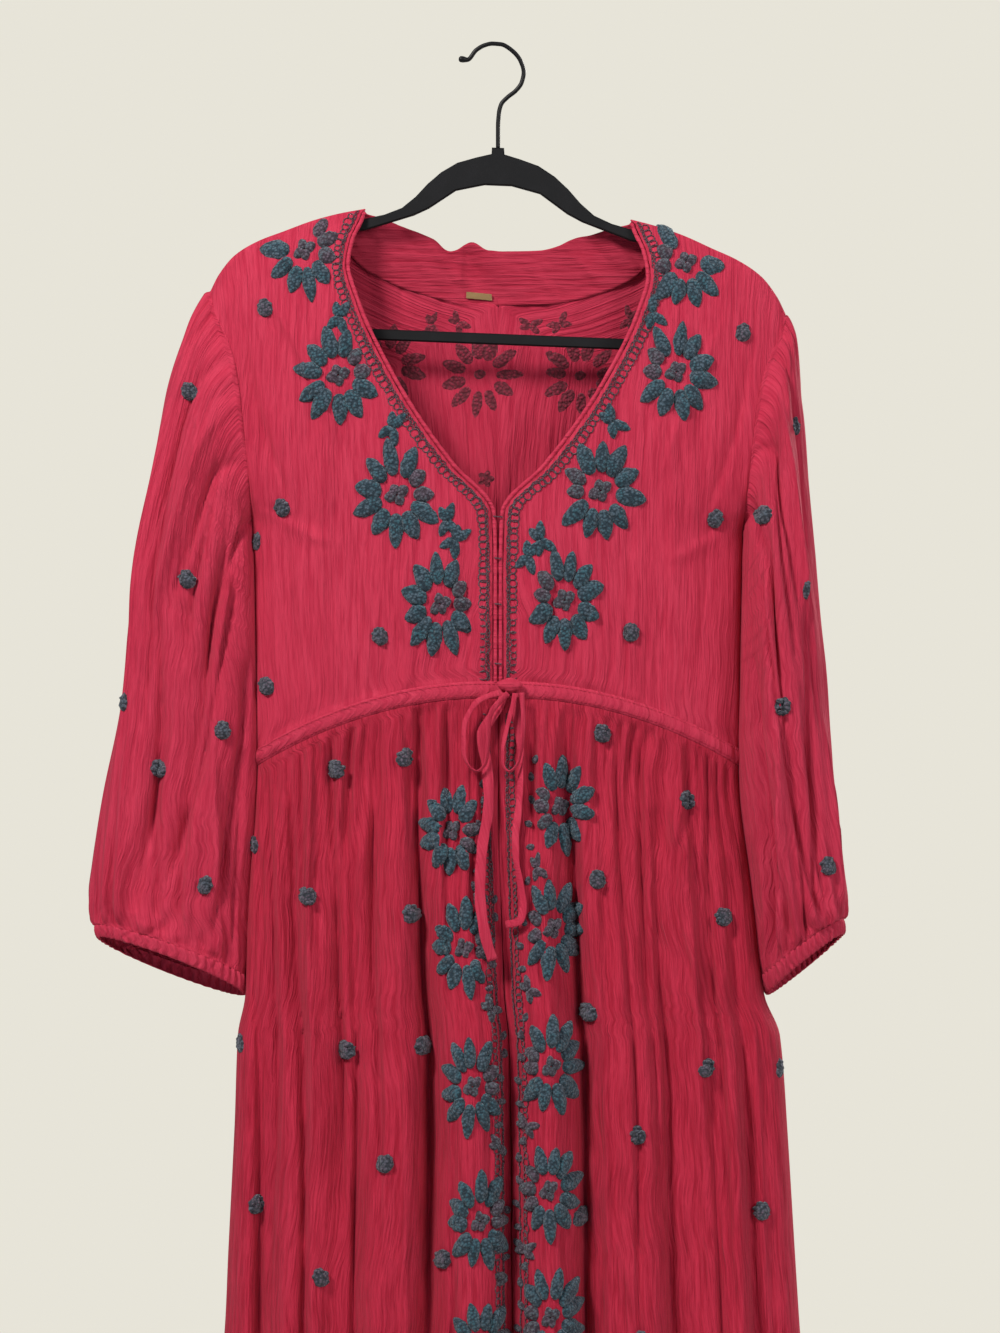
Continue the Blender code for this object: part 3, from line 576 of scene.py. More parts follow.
def crinkleGroup():  # the crushed gauze: upright ribs, long pinches and the open weave
    group, given, made = groupOf("crinkleGauze", "Grain", {"Rib Strength": 1.0, "Weave Strength": 1.0},
                                 ("Height", "Crease Shade", "Cloud"))
    noise = {}
    for name, (stretch, detail, rough, distortion) in crinkleNoises.items():
        grain = shaderNode(group, "Mapping", {"Vector": given["Grain"], "Scale": stretch})
        noise[name] = noiseFrom(group, grain, 1.0, detail, rough, distortion)
    ribs = mathNode(group, "MULTIPLY", noise["ribs"], given["Rib Strength"])
    threads = mathNode(group, "MULTIPLY", noise["threads"], given["Weave Strength"])
    height = mathNode(group, "ADD", ribs, mathNode(group, "MULTIPLY", noise["pinches"], 1.5))
    height = mathNode(group, "ADD", height, mathNode(group, "MULTIPLY", threads, 0.25))
    # painted shade: this mask is low where the ribs and pinches sink, and there the cloth takes its
    # deep colour
    both = mathNode(group, "ADD", mathNode(group, "MULTIPLY", noise["ribs"], 0.55),
                    mathNode(group, "MULTIPLY", noise["pinches"], 0.45))
    group.links.new(height, made["Height"])
    group.links.new(remap(group, both, 0.36, 0.60), made["Crease Shade"])
    group.links.new(remap(group, noise["cloud"], 0.3, 0.7), made["Cloud"])
    return group


def yarnGroup():  # looped yarn: small lumps, with painted shade in the hollows between them
    group, given, made = groupOf("loopedYarn", "Place", {"Loop Scale": 900.0},
                                 ("Height", "Hollow Shade", "Cloud"))
    cells = shaderNode(group, "TexVoronoi", {"Vector": given["Place"], "Scale": given["Loop Scale"]},
                       "Distance", feature="F1")
    fuzz = mathNode(group, "MULTIPLY", noiseFrom(group, given["Place"], 2600), 0.35)
    lump = mathNode(group, "SUBTRACT", 1.0, cells)
    group.links.new(mathNode(group, "ADD", lump, fuzz), made["Height"])
    group.links.new(remap(group, cells, 0.22, 0.70), made["Hollow Shade"])
    cloud = noiseFrom(group, given["Place"], 120, 3.0)
    group.links.new(remap(group, cloud, 0.35, 0.65), made["Cloud"])
    return group


def coatGroup():  # faint grain and rubbed spots for hard, coated parts
    group, given, made = groupOf("coatGrain", "Place", {"Grain Scale": 1800.0}, ("Height", "Rubbed"))
    group.links.new(noiseFrom(group, given["Place"], given["Grain Scale"], 3.0), made["Height"])
    broad = noiseFrom(group, given["Place"], 35, 4.0, 0.6)
    group.links.new(remap(group, broad, 0.45, 0.75), made["Rubbed"])
    return group


gauzeEffect, yarnEffect, coatEffect = crinkleGroup(), yarnGroup(), coatGroup()


def startMaterial(name, values, effect=None, numbers=None, uv=None):
    # values are the shader's own constants, numbers are the effect's
    material = bpy.data.materials.new(name)
    material.use_nodes = True
    tree = material.node_tree
    shader = tree.nodes["Principled BSDF"].inputs
    for label, value in values.items():
        shader[label].default_value = value
    if uv:
        where = shaderNode(tree, "UVMap", {}, "UV", uv_map=uv)
    else:
        where = shaderNode(tree, "TexCoord", {}, "Object")
    if effect is None:
        return material, tree, shader, where
    group = tree.nodes.new("ShaderNodeGroup")
    group.node_tree = effect
    tree.links.new(where, group.inputs[0])
    for label, value in numbers.items():
        group.inputs[label].default_value = value
    return material, tree, shader, group.outputs


gauzeLook = {"bump": 0.95, "bumpDepth": 0.0015,
             "shader": {"Roughness": 0.82, "Sheen Weight": 0.06, "Sheen Roughness": 0.45,
                        "Sheen Tint": (1, 0.45, 0.52, 1), "Specular IOR Level": 0.22}}
gauzeTones = {  # lit colour, deep colour (painted shade in the crinkle's troughs) and warm colour, then how strong the ribs and the weave are
    "redGauze": ((0.510, 0.026, 0.067), (0.420, 0.017, 0.050), (0.545, 0.034, 0.080), 1.0, 1.0),
    "fullGauze": ((0.470, 0.017, 0.050), (0.345, 0.009, 0.031), (0.510, 0.023, 0.061), 1.3, 1.0),
    "redBand": ((0.510, 0.030, 0.072), (0.450, 0.022, 0.060), (0.550, 0.038, 0.085), 0.5, 1.4),
    "collarGauze": ((0.435, 0.023, 0.058), (0.350, 0.014, 0.040), (0.465, 0.029, 0.067), 0.7, 1.2),
    "tieCloth": ((0.500, 0.029, 0.070), (0.420, 0.019, 0.053), (0.540, 0.037, 0.082), 0.6, 1.5),
}


def gauzeMaterial(name, lit, deep, warm, ribs, weave):
    numbers = {"Rib Strength": ribs, "Weave Strength": weave}
    material, tree, shader, effect = startMaterial(name, gauzeLook["shader"], gauzeEffect, numbers,
                                                   uv="grain")
    base = mixColour(tree, effect["Cloud"], (*lit, 1), (*warm, 1))
    # painted shade: the deep colour fills the crinkle's troughs
    tree.links.new(mixColour(tree, effect["Crease Shade"], (*deep, 1), base), shader["Base Color"])
    tree.links.new(remap(tree, effect["Crease Shade"], 0, 1, 0.9, 0.76), shader["Roughness"])
    bumpFrom(tree, shader, effect["Height"], gauzeLook["bump"], gauzeLook["bumpDepth"])
    return material


yarnLook = {"bump": 1.0, "bumpDepth": 0.0020,
            "shader": {"Roughness": 0.9, "Sheen Weight": 0.25, "Sheen Roughness": 0.45,
                       "Sheen Tint": (0.8, 0.9, 1, 1)}}
yarnTones = {  # lit colour, deep colour (painted shade in the hollows between loops) and grey colour, then how close the loops are
    "tealYarn": ((0.031, 0.112, 0.150), (0.006, 0.024, 0.040), (0.070, 0.110, 0.150), 470.0),
    "greyYarn": ((0.080, 0.105, 0.140), (0.018, 0.022, 0.034), (0.120, 0.085, 0.125), 470.0),
    "mauveYarn": ((0.130, 0.085, 0.125), (0.034, 0.018, 0.032), (0.075, 0.110, 0.135), 470.0),
    "trimYarn": ((0.185, 0.050, 0.080), (0.085, 0.018, 0.034), (0.105, 0.070, 0.092), 900.0),
    "innerYarn": ((0.215, 0.012, 0.034), (0.120, 0.006, 0.018), (0.300, 0.014, 0.044), 420.0),
}


def yarnMaterial(name, lit, deep, grey, loops):
    material, tree, shader, effect = startMaterial(name, yarnLook["shader"], yarnEffect,
                                                   {"Loop Scale": loops})
    base = mixColour(tree, effect["Cloud"], (*lit, 1), (*grey, 1))
    # painted shade: the deep colour darkens the hollows between the loops
    tree.links.new(mixColour(tree, effect["Hollow Shade"], base, (*deep, 1)), shader["Base Color"])
    bumpFrom(tree, shader, effect["Height"], yarnLook["bump"], yarnLook["bumpDepth"])
    return material


def coatedMaterial(name, dark, rubbed, roughness, grain=1800.0, bump=0.25):
    material, tree, shader, effect = startMaterial(
        name, {"Roughness": roughness, "Specular IOR Level": 0.2}, coatEffect, {"Grain Scale": grain})
    tone = mixColour(tree, effect["Rubbed"], (*dark, 1), (*rubbed, 1))
    rough = remap(tree, effect["Rubbed"], 0, 1, roughness + 0.06, roughness - 0.08)
    tree.links.new(tone, shader["Base Color"])
    tree.links.new(rough, shader["Roughness"])
    bumpFrom(tree, shader, effect["Height"], bump, 0.0003)
    return material


labelLook = {"threads": 700, "distortion": 0.6, "dark": (0.16, 0.085, 0.030, 1),
             "light": (0.42, 0.27, 0.11, 1), "shader": {"Roughness": 0.55, "Metallic": 0.25}}


def labelMaterial():
    material, tree, shader, where = startMaterial("labelWeave", labelLook["shader"])
    threads = shaderNode(tree, "TexWave", {"Vector": where, "Scale": labelLook["threads"],
                                           "Distortion": labelLook["distortion"]}, "Fac",
                         wave_type="BANDS", bands_direction="Z")
    tone = mixColour(tree, threads, labelLook["dark"], labelLook["light"])
    tree.links.new(tone, shader["Base Color"])
    bumpFrom(tree, shader, threads, 0.5, 0.0003)
    return material


redGauze, fullGauze, redBand, collarGauze, tieCloth = (
    gauzeMaterial(name, *tones) for name, tones in gauzeTones.items())
tealYarn, greyYarn, mauveYarn, trimYarn, innerYarn = (
    yarnMaterial(name, *tones) for name, tones in yarnTones.items())
hangerCoat = coatedMaterial("hangerCoat", (0.0045, 0.0048, 0.006), (0.010, 0.010, 0.012), 0.5)
hookCoat = coatedMaterial("hookCoat", (0.006, 0.006, 0.007), (0.018, 0.017, 0.016), 0.34, 900.0, 0.1)
labelWeave = labelMaterial()
print("materials ready")

# bodice: two fronts and a back
bodiceSize = {"across": 80, "step": 3.6, "frontFlat": (0.24, 0.41), "frontArea": 0.068,
              "backFlat": (0.46, 0.41), "backArea": 0.145}


def bodiceRows():  # closer together where the cloth turns over the hanger's arm
    rows = [np.linspace(0, 2, 7)[:-1]]
    drops = -frontCut["z_out"]
    for k in range(2, 12):
        longest = max(drops[k + 1] - drops[k], frontCut["z_in"][k] - frontCut["z_in"][k + 1])
        count = max(3, round(longest / bodiceSize["step"]))
        rows.append(np.linspace(k, k + 1, count + 1)[:-1])
    return np.concatenate(rows + [[12.0]])


def makeBodice():
    shares, rows = spacedShares(bodiceSize["across"]), bodiceRows()[:, None]
    for name, side, node in (("frontLeft", -1, "bodice_front_left"),
                             ("frontRight", 1, "bodice_front_right")):
        order = shares[::-1] if side < 0 else shares
        grid = bodice(frontCut, side, rows, order[None, :])
        addCloth(name, [grid], redGauze, [node], bodiceSize["frontFlat"],
                 area=bodiceSize["frontArea"])
    right = bodice(backCut, 1, rows, shares[::-1][None, :])
    left = bodice(backCut, -1, rows, shares[None, :])
    addCloth("back", [right, left], redGauze, ["bodice_back"], bodiceSize["backFlat"],
             area=bodiceSize["backArea"], weld=True)
    print("bodice made")


makeBodice()

# back collar, with its rumple beside the centre seam
collarSize = {"rows": 26, "steps": 90, "seamAt": -24.0, "seamWide": 1.3, "seamHigh": 1.1, "lap": 1.6,
              "labelAt": -22.0, "labelWide": 17, "fold": 2.8, "wrinkle": 1.1, "flat": (0.31, 0.034)}


def collar(side, row, w):
    xSeam, yIn = readAt(backCut, "x_in", "row", row), readAt(backCut, "y_in", "row", row)
    xOut, yOut = readAt(backCut, "x_out", "row", row), readAt(backCut, "y_out", "row", row)
    ySeam = yOut + (yIn - yOut) * flatRound(xSeam / xOut)
    xSeam = xSeam - 2 * dress["seam"] * softStep(0, 30, xSeam)
    x = xSeam + (readAt(collarTop, "x", "row", row) - xSeam) * w
    y = ySeam + (readAt(collarTop, "y", "row", row) - ySeam) * w
    rolled = readAt(shoulderLine, "z", "x", x) - readAt(shoulderRoll, "fall", "row", row)
    reading = np.maximum(row, 3)
    zSeam = readAt(backCut, "z_in", "row", reading) + 1.5 * dress["seam"]
    level = zSeam + (readAt(collarTop, "z", "row", reading) - zSeam) * w
    turn = np.clip(row - 2, 0, 1)
    z = rolled * (1 - turn) + level * turn
    for k, spot in enumerate(collarRumples["at"]):
        rumple = collarRumples["lift"][k] * roundBump(side * x - spot, collarRumples["wide"][k])
        z = z + rumple * w * w
        y = y + 0.5 * np.abs(rumple) * w * (1 - w) * 4
    z = z - collarSize["lap"] * (1 - softStep(0, 0.12, w)) * softStep(2, 3.4, row)
    calm = softStep(0, 0.12, w) * softStep(2.4, 3.4, row)
    fromSeam = (side * x - collarSize["seamAt"]) / collarSize["seamWide"]
    seam = collarSize["seamHigh"] * np.exp(-fromSeam ** 2)
    slant, rise = side * x + 0.9 * z, z - 0.5 * side * x  # the stand sags in long slanting folds
    fold = collarSize["fold"] * softNoise(slant / 21, rise / 80, 91)
    fold = fold + collarSize["wrinkle"] * softNoise(slant / 7, rise / 45, 92)
    fromLabel = (side * x - collarSize["labelAt"]) / collarSize["labelWide"]
    label = np.exp(-fromLabel ** 4) * (1 - softStep(0.1, 0.5, w))
    raised = (seam + fold) * calm * (1 - label) + 0.9 * label
    return placed(side * x, y + raised - 0.35 * (1 - calm) * (1 - label), z)


def makeCollar():
    rows = np.unique(np.concatenate([np.linspace(0, 2, 5), np.linspace(2, 7, collarSize["steps"])]))
    w = np.linspace(1, 0, collarSize["rows"])[:, None]
    right, left = collar(1, rows[None, :], w), collar(-1, rows[::-1][None, :], w)
    grid = np.concatenate([right, left[:, 1:]], axis=1)
    addCloth("collar", [grid], collarGauze, ["back_collar"], collarSize["flat"],
             way="crosswise")
    print("collar made")


makeCollar()

# sleeves and their gathered cuffs
sleeveLeft = tableOf(
    "x_out z_out x_in z_in depth",
    (228, -207, 180.6, -366, 27), (243, -250, 179.9, -378, 30), (256, -315, 179.4, -402, 32),
    (267, -372, 178.6, -435, 32), (272, -430, 178.0, -472, 31), (279, -490, 177.0, -518, 30),
    (291, -555, 177.8, -563, 30), (298, -605, 181.6, -616, 29), (300, -632, 184.0, -662, 28),
    (297, -650, 186.0, -688, 26),
)
sleeveRight = tableOf(
    "x_out z_out x_in z_in depth",
    (219, -215, 180.6, -366, 30), (223, -262, 179.9, -380, 37), (227, -318, 179.4, -403, 43),
    (231, -374, 178.6, -436, 47), (236, -432, 178.0, -472, 49), (242, -492, 177.0, -517, 50),
    (249, -558, 178.6, -563, 50), (253, -610, 184.6, -612, 49), (256, -632, 189.0, -655, 45),
    (254, -645, 194, -688, 40),
)
sleeveSize = {"around": (86, 52), "along": 132, "fold": 4.2, "crinkle": 0.8, "cloth": (235.0, 500),
              "flat": (0.40, 0.50), "area": 0.118, "mouth": 9.0}
cuffSize = {"around": 280, "along": 12, "gathers": 46, "ripple": 0.95, "puff": 1.1,
            "flat": (0.24, 0.012)}
cuffLeftEnd = (295, -659, 187, -700, 25)
cuffRightEnd = (255, -656, 199, -700, 38)
# gathers round the sleeve: how many, how uneven, the noise's turns, lengths and seed, how high
sleeveGathers = {"head": (27, 3, (2, 9, 6), 1.7), "mouth": (36, 2.5, (3, 14, 8), 1.2),
                 "blouse": (15, 2.2, (2, 6, 9), 2.6)}
# creases run along the sleeve: turn in degrees at both ends, share of the length at both ends
sleeveCreases = tableOf(
    "topTurn topAt lowTurn lowAt wide lift",
    (152, 0.02, 92, 0.56, 6, -3.4), (112, 0.01, 62, 0.46, 5, -3.0), (132, 0.10, 104, 0.62, 5, 2.2),
    (130, 0.32, 70, 0.93, 6, -3.4), (84, 0.05, 40, 0.55, 6, 2.4), (58, 0.02, 34, 0.40, 5, -2.4),
    (50, 0.42, 82, 0.96, 5, -3.0), (100, 0.52, 132, 0.97, 5, 2.4), (150, 0.45, 114, 0.96, 5, -3.0),
    (36, 0.60, 52, 0.98, 4, 2.0), (90, 0.70, 96, 0.99, 4, -2.8), (98, 0.20, 76, 0.52, 4, -2.2),
    (118, 0.24, 88, 0.70, 4, -2.6), (70, 0.55, 60, 0.90, 4, -2.6), (142, 0.60, 140, 0.98, 4, -2.2),
    (44, 0.25, 46, 0.62, 4, -2.4), (225, 0.10, 262, 0.60, 8, -2.8), (275, 0.30, 245, 0.95, 8, 2.4),
    (310, 0.06, 282, 0.55, 8, -2.6), (300, 0.50, 324, 0.97, 7, -2.8), (20, 0.2, 24, 0.7, 6, 1.6),
    (345, 0.3, 336, 0.8, 7, 1.6),
)


def ringPoints(side, end, turns, swell):
    xOut, zOut, xIn, zIn, depth = end
    c, d = np.cos(turns), np.sin(turns)
    x = 0.5 * (xOut + xIn) + (0.5 * (xOut - xIn) + swell) * c
    z = 0.5 * (zOut + zIn) + 0.5 * (zOut - zIn) * c
    y = -np.sign(d) * np.abs(d) ** 0.9 * (depth + swell)
    return np.stack([side * x, y, z + 0 * x], axis=-1) * mm


def armholeRing(side, turns):
    top, low = frontCut["z_out"][0], frontCut["z_out"][9]
    z = 0.5 * (top + low) + 0.5 * (top - low) * np.cos(turns)
    cut = {name: frontCut[name][:10] for name in frontCut}
    cut["drop"] = -cut["z_out"]
    x = readAt(cut, "x_out", "drop", -z)
    y = readAt(cut, "y_out", "drop", -z) * -np.sign(np.sin(turns) + 1e-12)
    y = np.where(np.abs(np.sin(turns)) < 1e-9, 0, y)
    return placed(side * x, y, z) + np.array([side * dress["armholeGap"] * mm, 0, 0])


def throughRings(rings, at):  # a smooth line through each turn's points
    i = np.clip(np.floor(at).astype(int), 0, len(rings) - 2)
    t = (at - i)[:, None, None]
    p0, p1 = rings[np.maximum(i - 1, 0)], rings[i]
    p2, p3 = rings[i + 1], rings[np.minimum(i + 2, len(rings) - 1)]
    return 0.5 * (2 * p1 + (p2 - p0) * t + (2 * p0 - 5 * p1 + 4 * p2 - p3) * t * t
                  + (3 * p1 - p0 - 3 * p2 + p3) * t ** 3)


def outwardOf(grid):  # of a grid that closes on itself
    across = np.roll(grid, -1, axis=1) - np.roll(grid, 1, axis=1)
    normal = np.cross(across, np.gradient(grid, axis=0))
    return normal / np.maximum(np.linalg.norm(normal, axis=-1, keepdims=True), 1e-12)


def sleeveRelief(side, turns, share):  # creases, gathers and crinkle, in millimetres
    lift = np.zeros(share.shape[:1] + turns.shape)
    for k in range(len(sleeveCreases["wide"])):
        topAt, lowAt = sleeveCreases["topAt"][k], sleeveCreases["lowAt"][k]
        t = np.clip((share - topAt) / (lowAt - topAt), 0, 1)
        spot = sleeveCreases["topTurn"][k] * (1 - t) + sleeveCreases["lowTurn"][k] * t
        away = (np.degrees(turns)[None, :] - spot + 6 * side) / sleeveCreases["wide"][k]
        lift = lift + oneCrease(sleeveCrease["high"] * sleeveCreases["lift"][k], away, t, sleeveCrease)
    atHead = (1 - softStep(0.0, 0.2, share)) * softStep(0, 0.025, share) * (1 + np.cos(turns)) / 2
    where = {"head": atHead, "mouth": softStep(0.80, 0.985, share),
             "blouse": softStep(0.62, 0.88, share) * (1 - softStep(0.93, 1, share))}
    puck = 0
    for name, (count, stray, (around, down, seed), high) in sleeveGathers.items():
        uneven = stray * softNoise(turns * around, share * down, seed)
        puck = puck + np.sin(count * turns + uneven) * high * where[name]
    wide = sleeveSize["cloth"][0] * turns[None, :] / (2 * np.pi)
    tall = sleeveSize["cloth"][1] * share
    fine = sleeveSize["crinkle"] * crinkled(wide + 0 * share, tall + 0 * wide, 101 + side)
    ends = softStep(0, 0.02, share) * (1 - softStep(0.985, 1, share))
    # calm where it hangs against the body
    inner = 1 - np.exp(-((turns[None, :] - np.pi) / 0.30) ** 2)
    return (lift * softStep(0.3, 0.6, np.sin(turns) ** 2 + 0.4) + fine + puck) * ends * inner


def makeSleeve(name, side, cut, cuffEnd, node, cuffNode):
    inFront, behind = sleeveSize["around"]
    turns = np.concatenate([np.linspace(0, np.pi, inFront, endpoint=False),
                            np.linspace(np.pi, 2 * np.pi, behind, endpoint=False)])
    ends = list(zip(*(cut[k] for k in cut)))
    count = len(ends)
    rings = [armholeRing(side, turns)]
    for i, end in enumerate(ends):
        share = i / (count - 1)
        wave = 0.6 * np.sin(3 * turns + 2.2 * share + side) + 0.4 * np.sin(5 * turns - 3 * share)
        swell = sleeveSize["fold"] * math.sin(math.pi * share) * wave * np.abs(np.sin(turns))
        rings.append(ringPoints(side, end, turns, swell))
    at = np.linspace(0, count, sleeveSize["along"])
    grid = throughRings(np.array(rings), at)
    share = (at / count)[:, None]
    normal = outwardOf(grid) * side
    grid = grid + normal * sleeveRelief(side, turns, share)[..., None] * mm
    grid[..., 2] += sleeveSize["mouth"] * mm * softStep(0.86, 1, share) * np.sin(turns)
    if side > 0:
        grid = grid[:, ::-1]
    addCloth(name, [grid], redGauze, [node], sleeveSize["flat"], area=sleeveSize["area"],
             closed=True, way="flared")
    makeCuff(name + "Cuff", side, ends[-1], cuffEnd, cuffNode)


def makeCuff(name, side, start, end, node):
    turns = np.linspace(0, 2 * np.pi, cuffSize["around"], endpoint=False)
    rings = []
    for share in np.linspace(-0.02, 1, cuffSize["along"]):
        cut = [a + (b - a) * share for a, b in zip(start, end)]
        puff = cuffSize["puff"] * abs(math.sin(math.pi * min(1, max(0, share)))) ** 0.6
        jitter = softNoise(turns * 5, share * 2 + 0 * turns, 17)
        ripple = np.cos(cuffSize["gathers"] * turns + 2.4 * jitter)
        rings.append(ringPoints(side, cut, turns, puff + cuffSize["ripple"] * ripple))
    grid = np.array(rings)
    grid[..., 2] += sleeveSize["mouth"] * mm * np.sin(turns)
    if side > 0:
        grid = grid[:, ::-1]
    addCloth(name, [grid], redBand, [node], cuffSize["flat"],
             closed=True)


makeSleeve("sleeveLeft", -1, sleeveLeft, cuffLeftEnd, "sleeve_left", "cuff_left")
makeSleeve("sleeveRight", 1, sleeveRight, cuffRightEnd, "sleeve_right", "cuff_right")
print("sleeves made")

# skirt
skirtSize = {"across": 140, "rows": 190, "backAcross": 86, "backRows": 150, "closer": 1.15,
             "frontFlat": (0.42, 0.90), "frontArea": 0.27, "backFlat": (0.80, 0.90), "backArea": 0.56}


def skirtRows(count):  # closer together near the waist
    return (np.linspace(0, 1, count) ** skirtSize["closer"])[:, None]


def makeSkirt():
    shares, v = spacedShares(skirtSize["across"]), skirtRows(skirtSize["rows"])
    for name, side, node in (("skirtLeft", -1, "skirt_front_left"),
                             ("skirtRight", 1, "skirt_front_right")):
        order = shares[::-1] if side < 0 else shares
        addCloth(name, [skirt(True, side, order[None, :], v)], fullGauze, [node],
                 skirtSize["frontFlat"], area=skirtSize["frontArea"],
                 way="flared")
    shares, v = spacedShares(skirtSize["backAcross"]), skirtRows(skirtSize["backRows"])
    right = skirt(False, 1, shares[::-1][None, :], v)
    left = skirt(False, -1, shares[None, :], v)
    grid = np.concatenate([right, left[:, 1:]], axis=1)
    addCloth("skirtBack", [grid], fullGauze, ["skirt_back"], skirtSize["backFlat"],
             area=skirtSize["backArea"], way="flared")
    print("skirt made")


makeSkirt()

# waist casing: a stitched channel, a little ruched
casingSize = {"around": 560, "rows": 13, "lap": 0.09, "wall": 1.4, "ruches": 95, "ruched": 0.35,
              "flat": (0.86, 0.013)}


def casingRow(share, out):
    shares = spacedShares(casingSize["around"] // 4)
    front = np.concatenate([-shares[::-1], shares[1:]])
    back = np.concatenate([shares[::-1][1:], -shares[1:-1]])
    s = np.concatenate([front, back])
    face = np.concatenate([-np.ones(len(front)), np.ones(len(back))])
    ruche = np.sin(s * casingSize["ruches"] + 2 * softNoise(s * 12, face, 3))
    lift = out * (1 + casingSize["ruched"] * ruche)
    x = s * (waist["half"] + lift)
    y = face * (skirtCut["front"][0] + lift) * flatRound(s)
    return placed(x, y, waistZ(s * waist["half"]) - waist["tall"] * share)


def makeCasing():
    rows = []
    for share in np.linspace(-casingSize["lap"], 1 + casingSize["lap"], casingSize["rows"]):
        puff = math.sin(math.pi * min(1, max(0, share))) ** 0.55
        rows.append(casingRow(share, waist["puff"] * puff + 0.25))
    addCloth("casing", [np.array(rows)], redBand, ["waist_casing"], casingSize["flat"],
             closed=True, wall=casingSize["wall"])
    print("casing made")


makeCasing()

# what the needle puts on: it is laid on the finished cloth by a ray from the front or the back
clothTrees = {}


def treeOf(names):
    key = tuple(names)
    if key not in clothTrees:
        points, faces, start = [], [], 0
        for name in names:
            points += [tuple(p) for p in pieces[name][0]]
            faces += [tuple(int(i) + start for i in f) for f in pieces[name][1]]
            start += len(pieces[name][0])
        clothTrees[key] = BVHTree.FromPolygons(points, faces)
    return clothTrees[key]


def onCloth(tree, x, z, way=1):  # way 1 looks from the front, -1 from behind
    place, normal, _, _ = tree.ray_cast(Vector((x, -0.6 * way, z)), Vector((0, way, 0)))
    if place is None:  # just past the edge: wrap round it
        beyond = Vector((x, 0, z))
        place, _, _, far = tree.find_nearest(beyond, 0.006)
        if place is None or far < 1e-6:
            return None, None
        return place, (beyond - place).normalized()
    if normal.y * way > 0:
        normal = -normal
    return place, normal


frontNames = ["frontLeft", "frontRight", "skirtLeft", "skirtRight", "sleeveLeft", "sleeveRight",
              "casing"]
backNames = ["back", "skirtBack", "sleeveLeft", "sleeveRight", "collar"]


class Heap:  # points and faces of one joined piece
    def __init__(self):
        self.points, self.faces = [], []

    def add(self, points, faces):
        start = len(self.points)
        self.points += points
        self.faces += [tuple(i + start for i in face) for face in faces]

    def finish(self, name, material, slot="embroidery_yarn"):
        addPiece(name, meshOf(name, self.points, self.faces), material)


petalShape = {"long": 10, "wide": 8, "thick": 3.8, "sink": 0.4, "base": 0.46, "tip": 0.66}
padShape = {"long": 6, "wide": 5}


def petal(heap, tree, x, z, turn, long, wide, squeeze=1.0, thick=None, way=1, seed=0,
          shape=petalShape):
    # a padded leaf of yarn, laid on the cloth from its base towards turn
    thick = petalShape["thick"] if thick is None else thick
    base, tip = petalShape["base"], petalShape["tip"]
    widest = base / (base + tip)
    widest = widest ** base * (1 - widest) ** tip
    rng = np.random.default_rng(seed + 7)
    bumps = rng.random((shape["long"] + 1, shape["wide"] + 1))
    frays = 0.90 + 0.20 * rng.random((shape["long"] + 1, 2))
    along, sideways = (math.cos(turn), math.sin(turn)), (-math.sin(turn), math.cos(turn))
    points, faces = [], []
    for i in range(shape["long"] + 1):
        a = 0.5 - 0.5 * math.cos(math.pi * i / shape["long"])
        plump = a ** base * max(0.0, 1 - a) ** tip / widest
        for j in range(shape["wide"] + 1):
            b = 2 * j / shape["wide"] - 1
            half = 0.5 * wide * max(plump, 0.05) * frays[i, int(b > 0)]
            px = x + (along[0] * a * long + sideways[0] * b * half) * squeeze
            pz = z + along[1] * a * long + sideways[1] * b * half
            place, normal = onCloth(tree, px * mm, pz * mm, way)
            if place is None:
                return
            crown = (1 - b * b) ** 0.5 * plump ** 0.6
            high = thick * crown * (0.72 + 0.56 * bumps[i, j]) - petalShape["sink"] * (1 - crown)
            points.append(place + normal * high * mm)
    stride = shape["wide"] + 1
    for i in range(shape["long"]):
        for j in range(shape["wide"]):
            a = i * stride + j
            faces.append((a, a + stride, a + stride + 1, a + 1))
    heap.add(points, faces)


# a scattered knot: an oval pad with small lumps crowded round its rim
knotPlan = {"size": 15.0, "lumps": 7, "padThick": 4.2, "lumpThick": 3.4, "edgeSqueeze": 0.5}


def knot(heap, tree, x, z, way=1, seed=0, squeeze=1.0):
    rng = np.random.default_rng(seed + 100)
    size, lumps = knotPlan["size"], knotPlan["lumps"]
    lean = math.pi / 2 + (rng.random() - 0.5) * 0.9
    c, d = math.cos(lean), math.sin(lean)
    petal(heap, tree, x - c * size * 0.48 * squeeze, z - d * size * 0.48, lean, size * 0.96,
          size * 0.82, squeeze, knotPlan["padThick"] * squeeze, way, seed, padShape)
    for k in range(lumps):
        turn = k * 2 * math.pi / lumps + rng.random() * 0.5
        u, w = math.cos(turn) * size * 0.22, math.sin(turn) * size * 0.14
        petal(heap, tree, x + (c * u - d * w) * squeeze, z + d * u + c * w, lean + turn,
              size * 0.26, size * 0.32, squeeze, knotPlan["lumpThick"] * squeeze, way,
              seed * 9 + k, padShape)


# a flower: its petals' least length and width and how much more they may be, as shares
flowerPlan = {"petals": 11, "ring": 13.2, "long": 24.0, "wide": 14.8, "heart": 9.4,
              "outside": ((0.86, 0.30), (0.88, 0.18)), "inside": ((0.80, 0.28), (0.74, 0.24))}


def petalRing(rng, size, face):
    (leastLong, moreLong), (leastWide, moreWide) = flowerPlan[face]
    start = rng.random() * 2 * math.pi / flowerPlan["petals"]
    for k in range(flowerPlan["petals"]):
        turn = start + k * 2 * math.pi / flowerPlan["petals"] + (rng.random() - 0.5) * 0.14
        ring = flowerPlan["ring"] * size * (0.95 + 0.10 * rng.random())
        long = flowerPlan["long"] * size * (leastLong + moreLong * rng.random())
        wide = flowerPlan["wide"] * size * (leastWide + moreWide * rng.random())
        yield k, turn, ring, long, wide


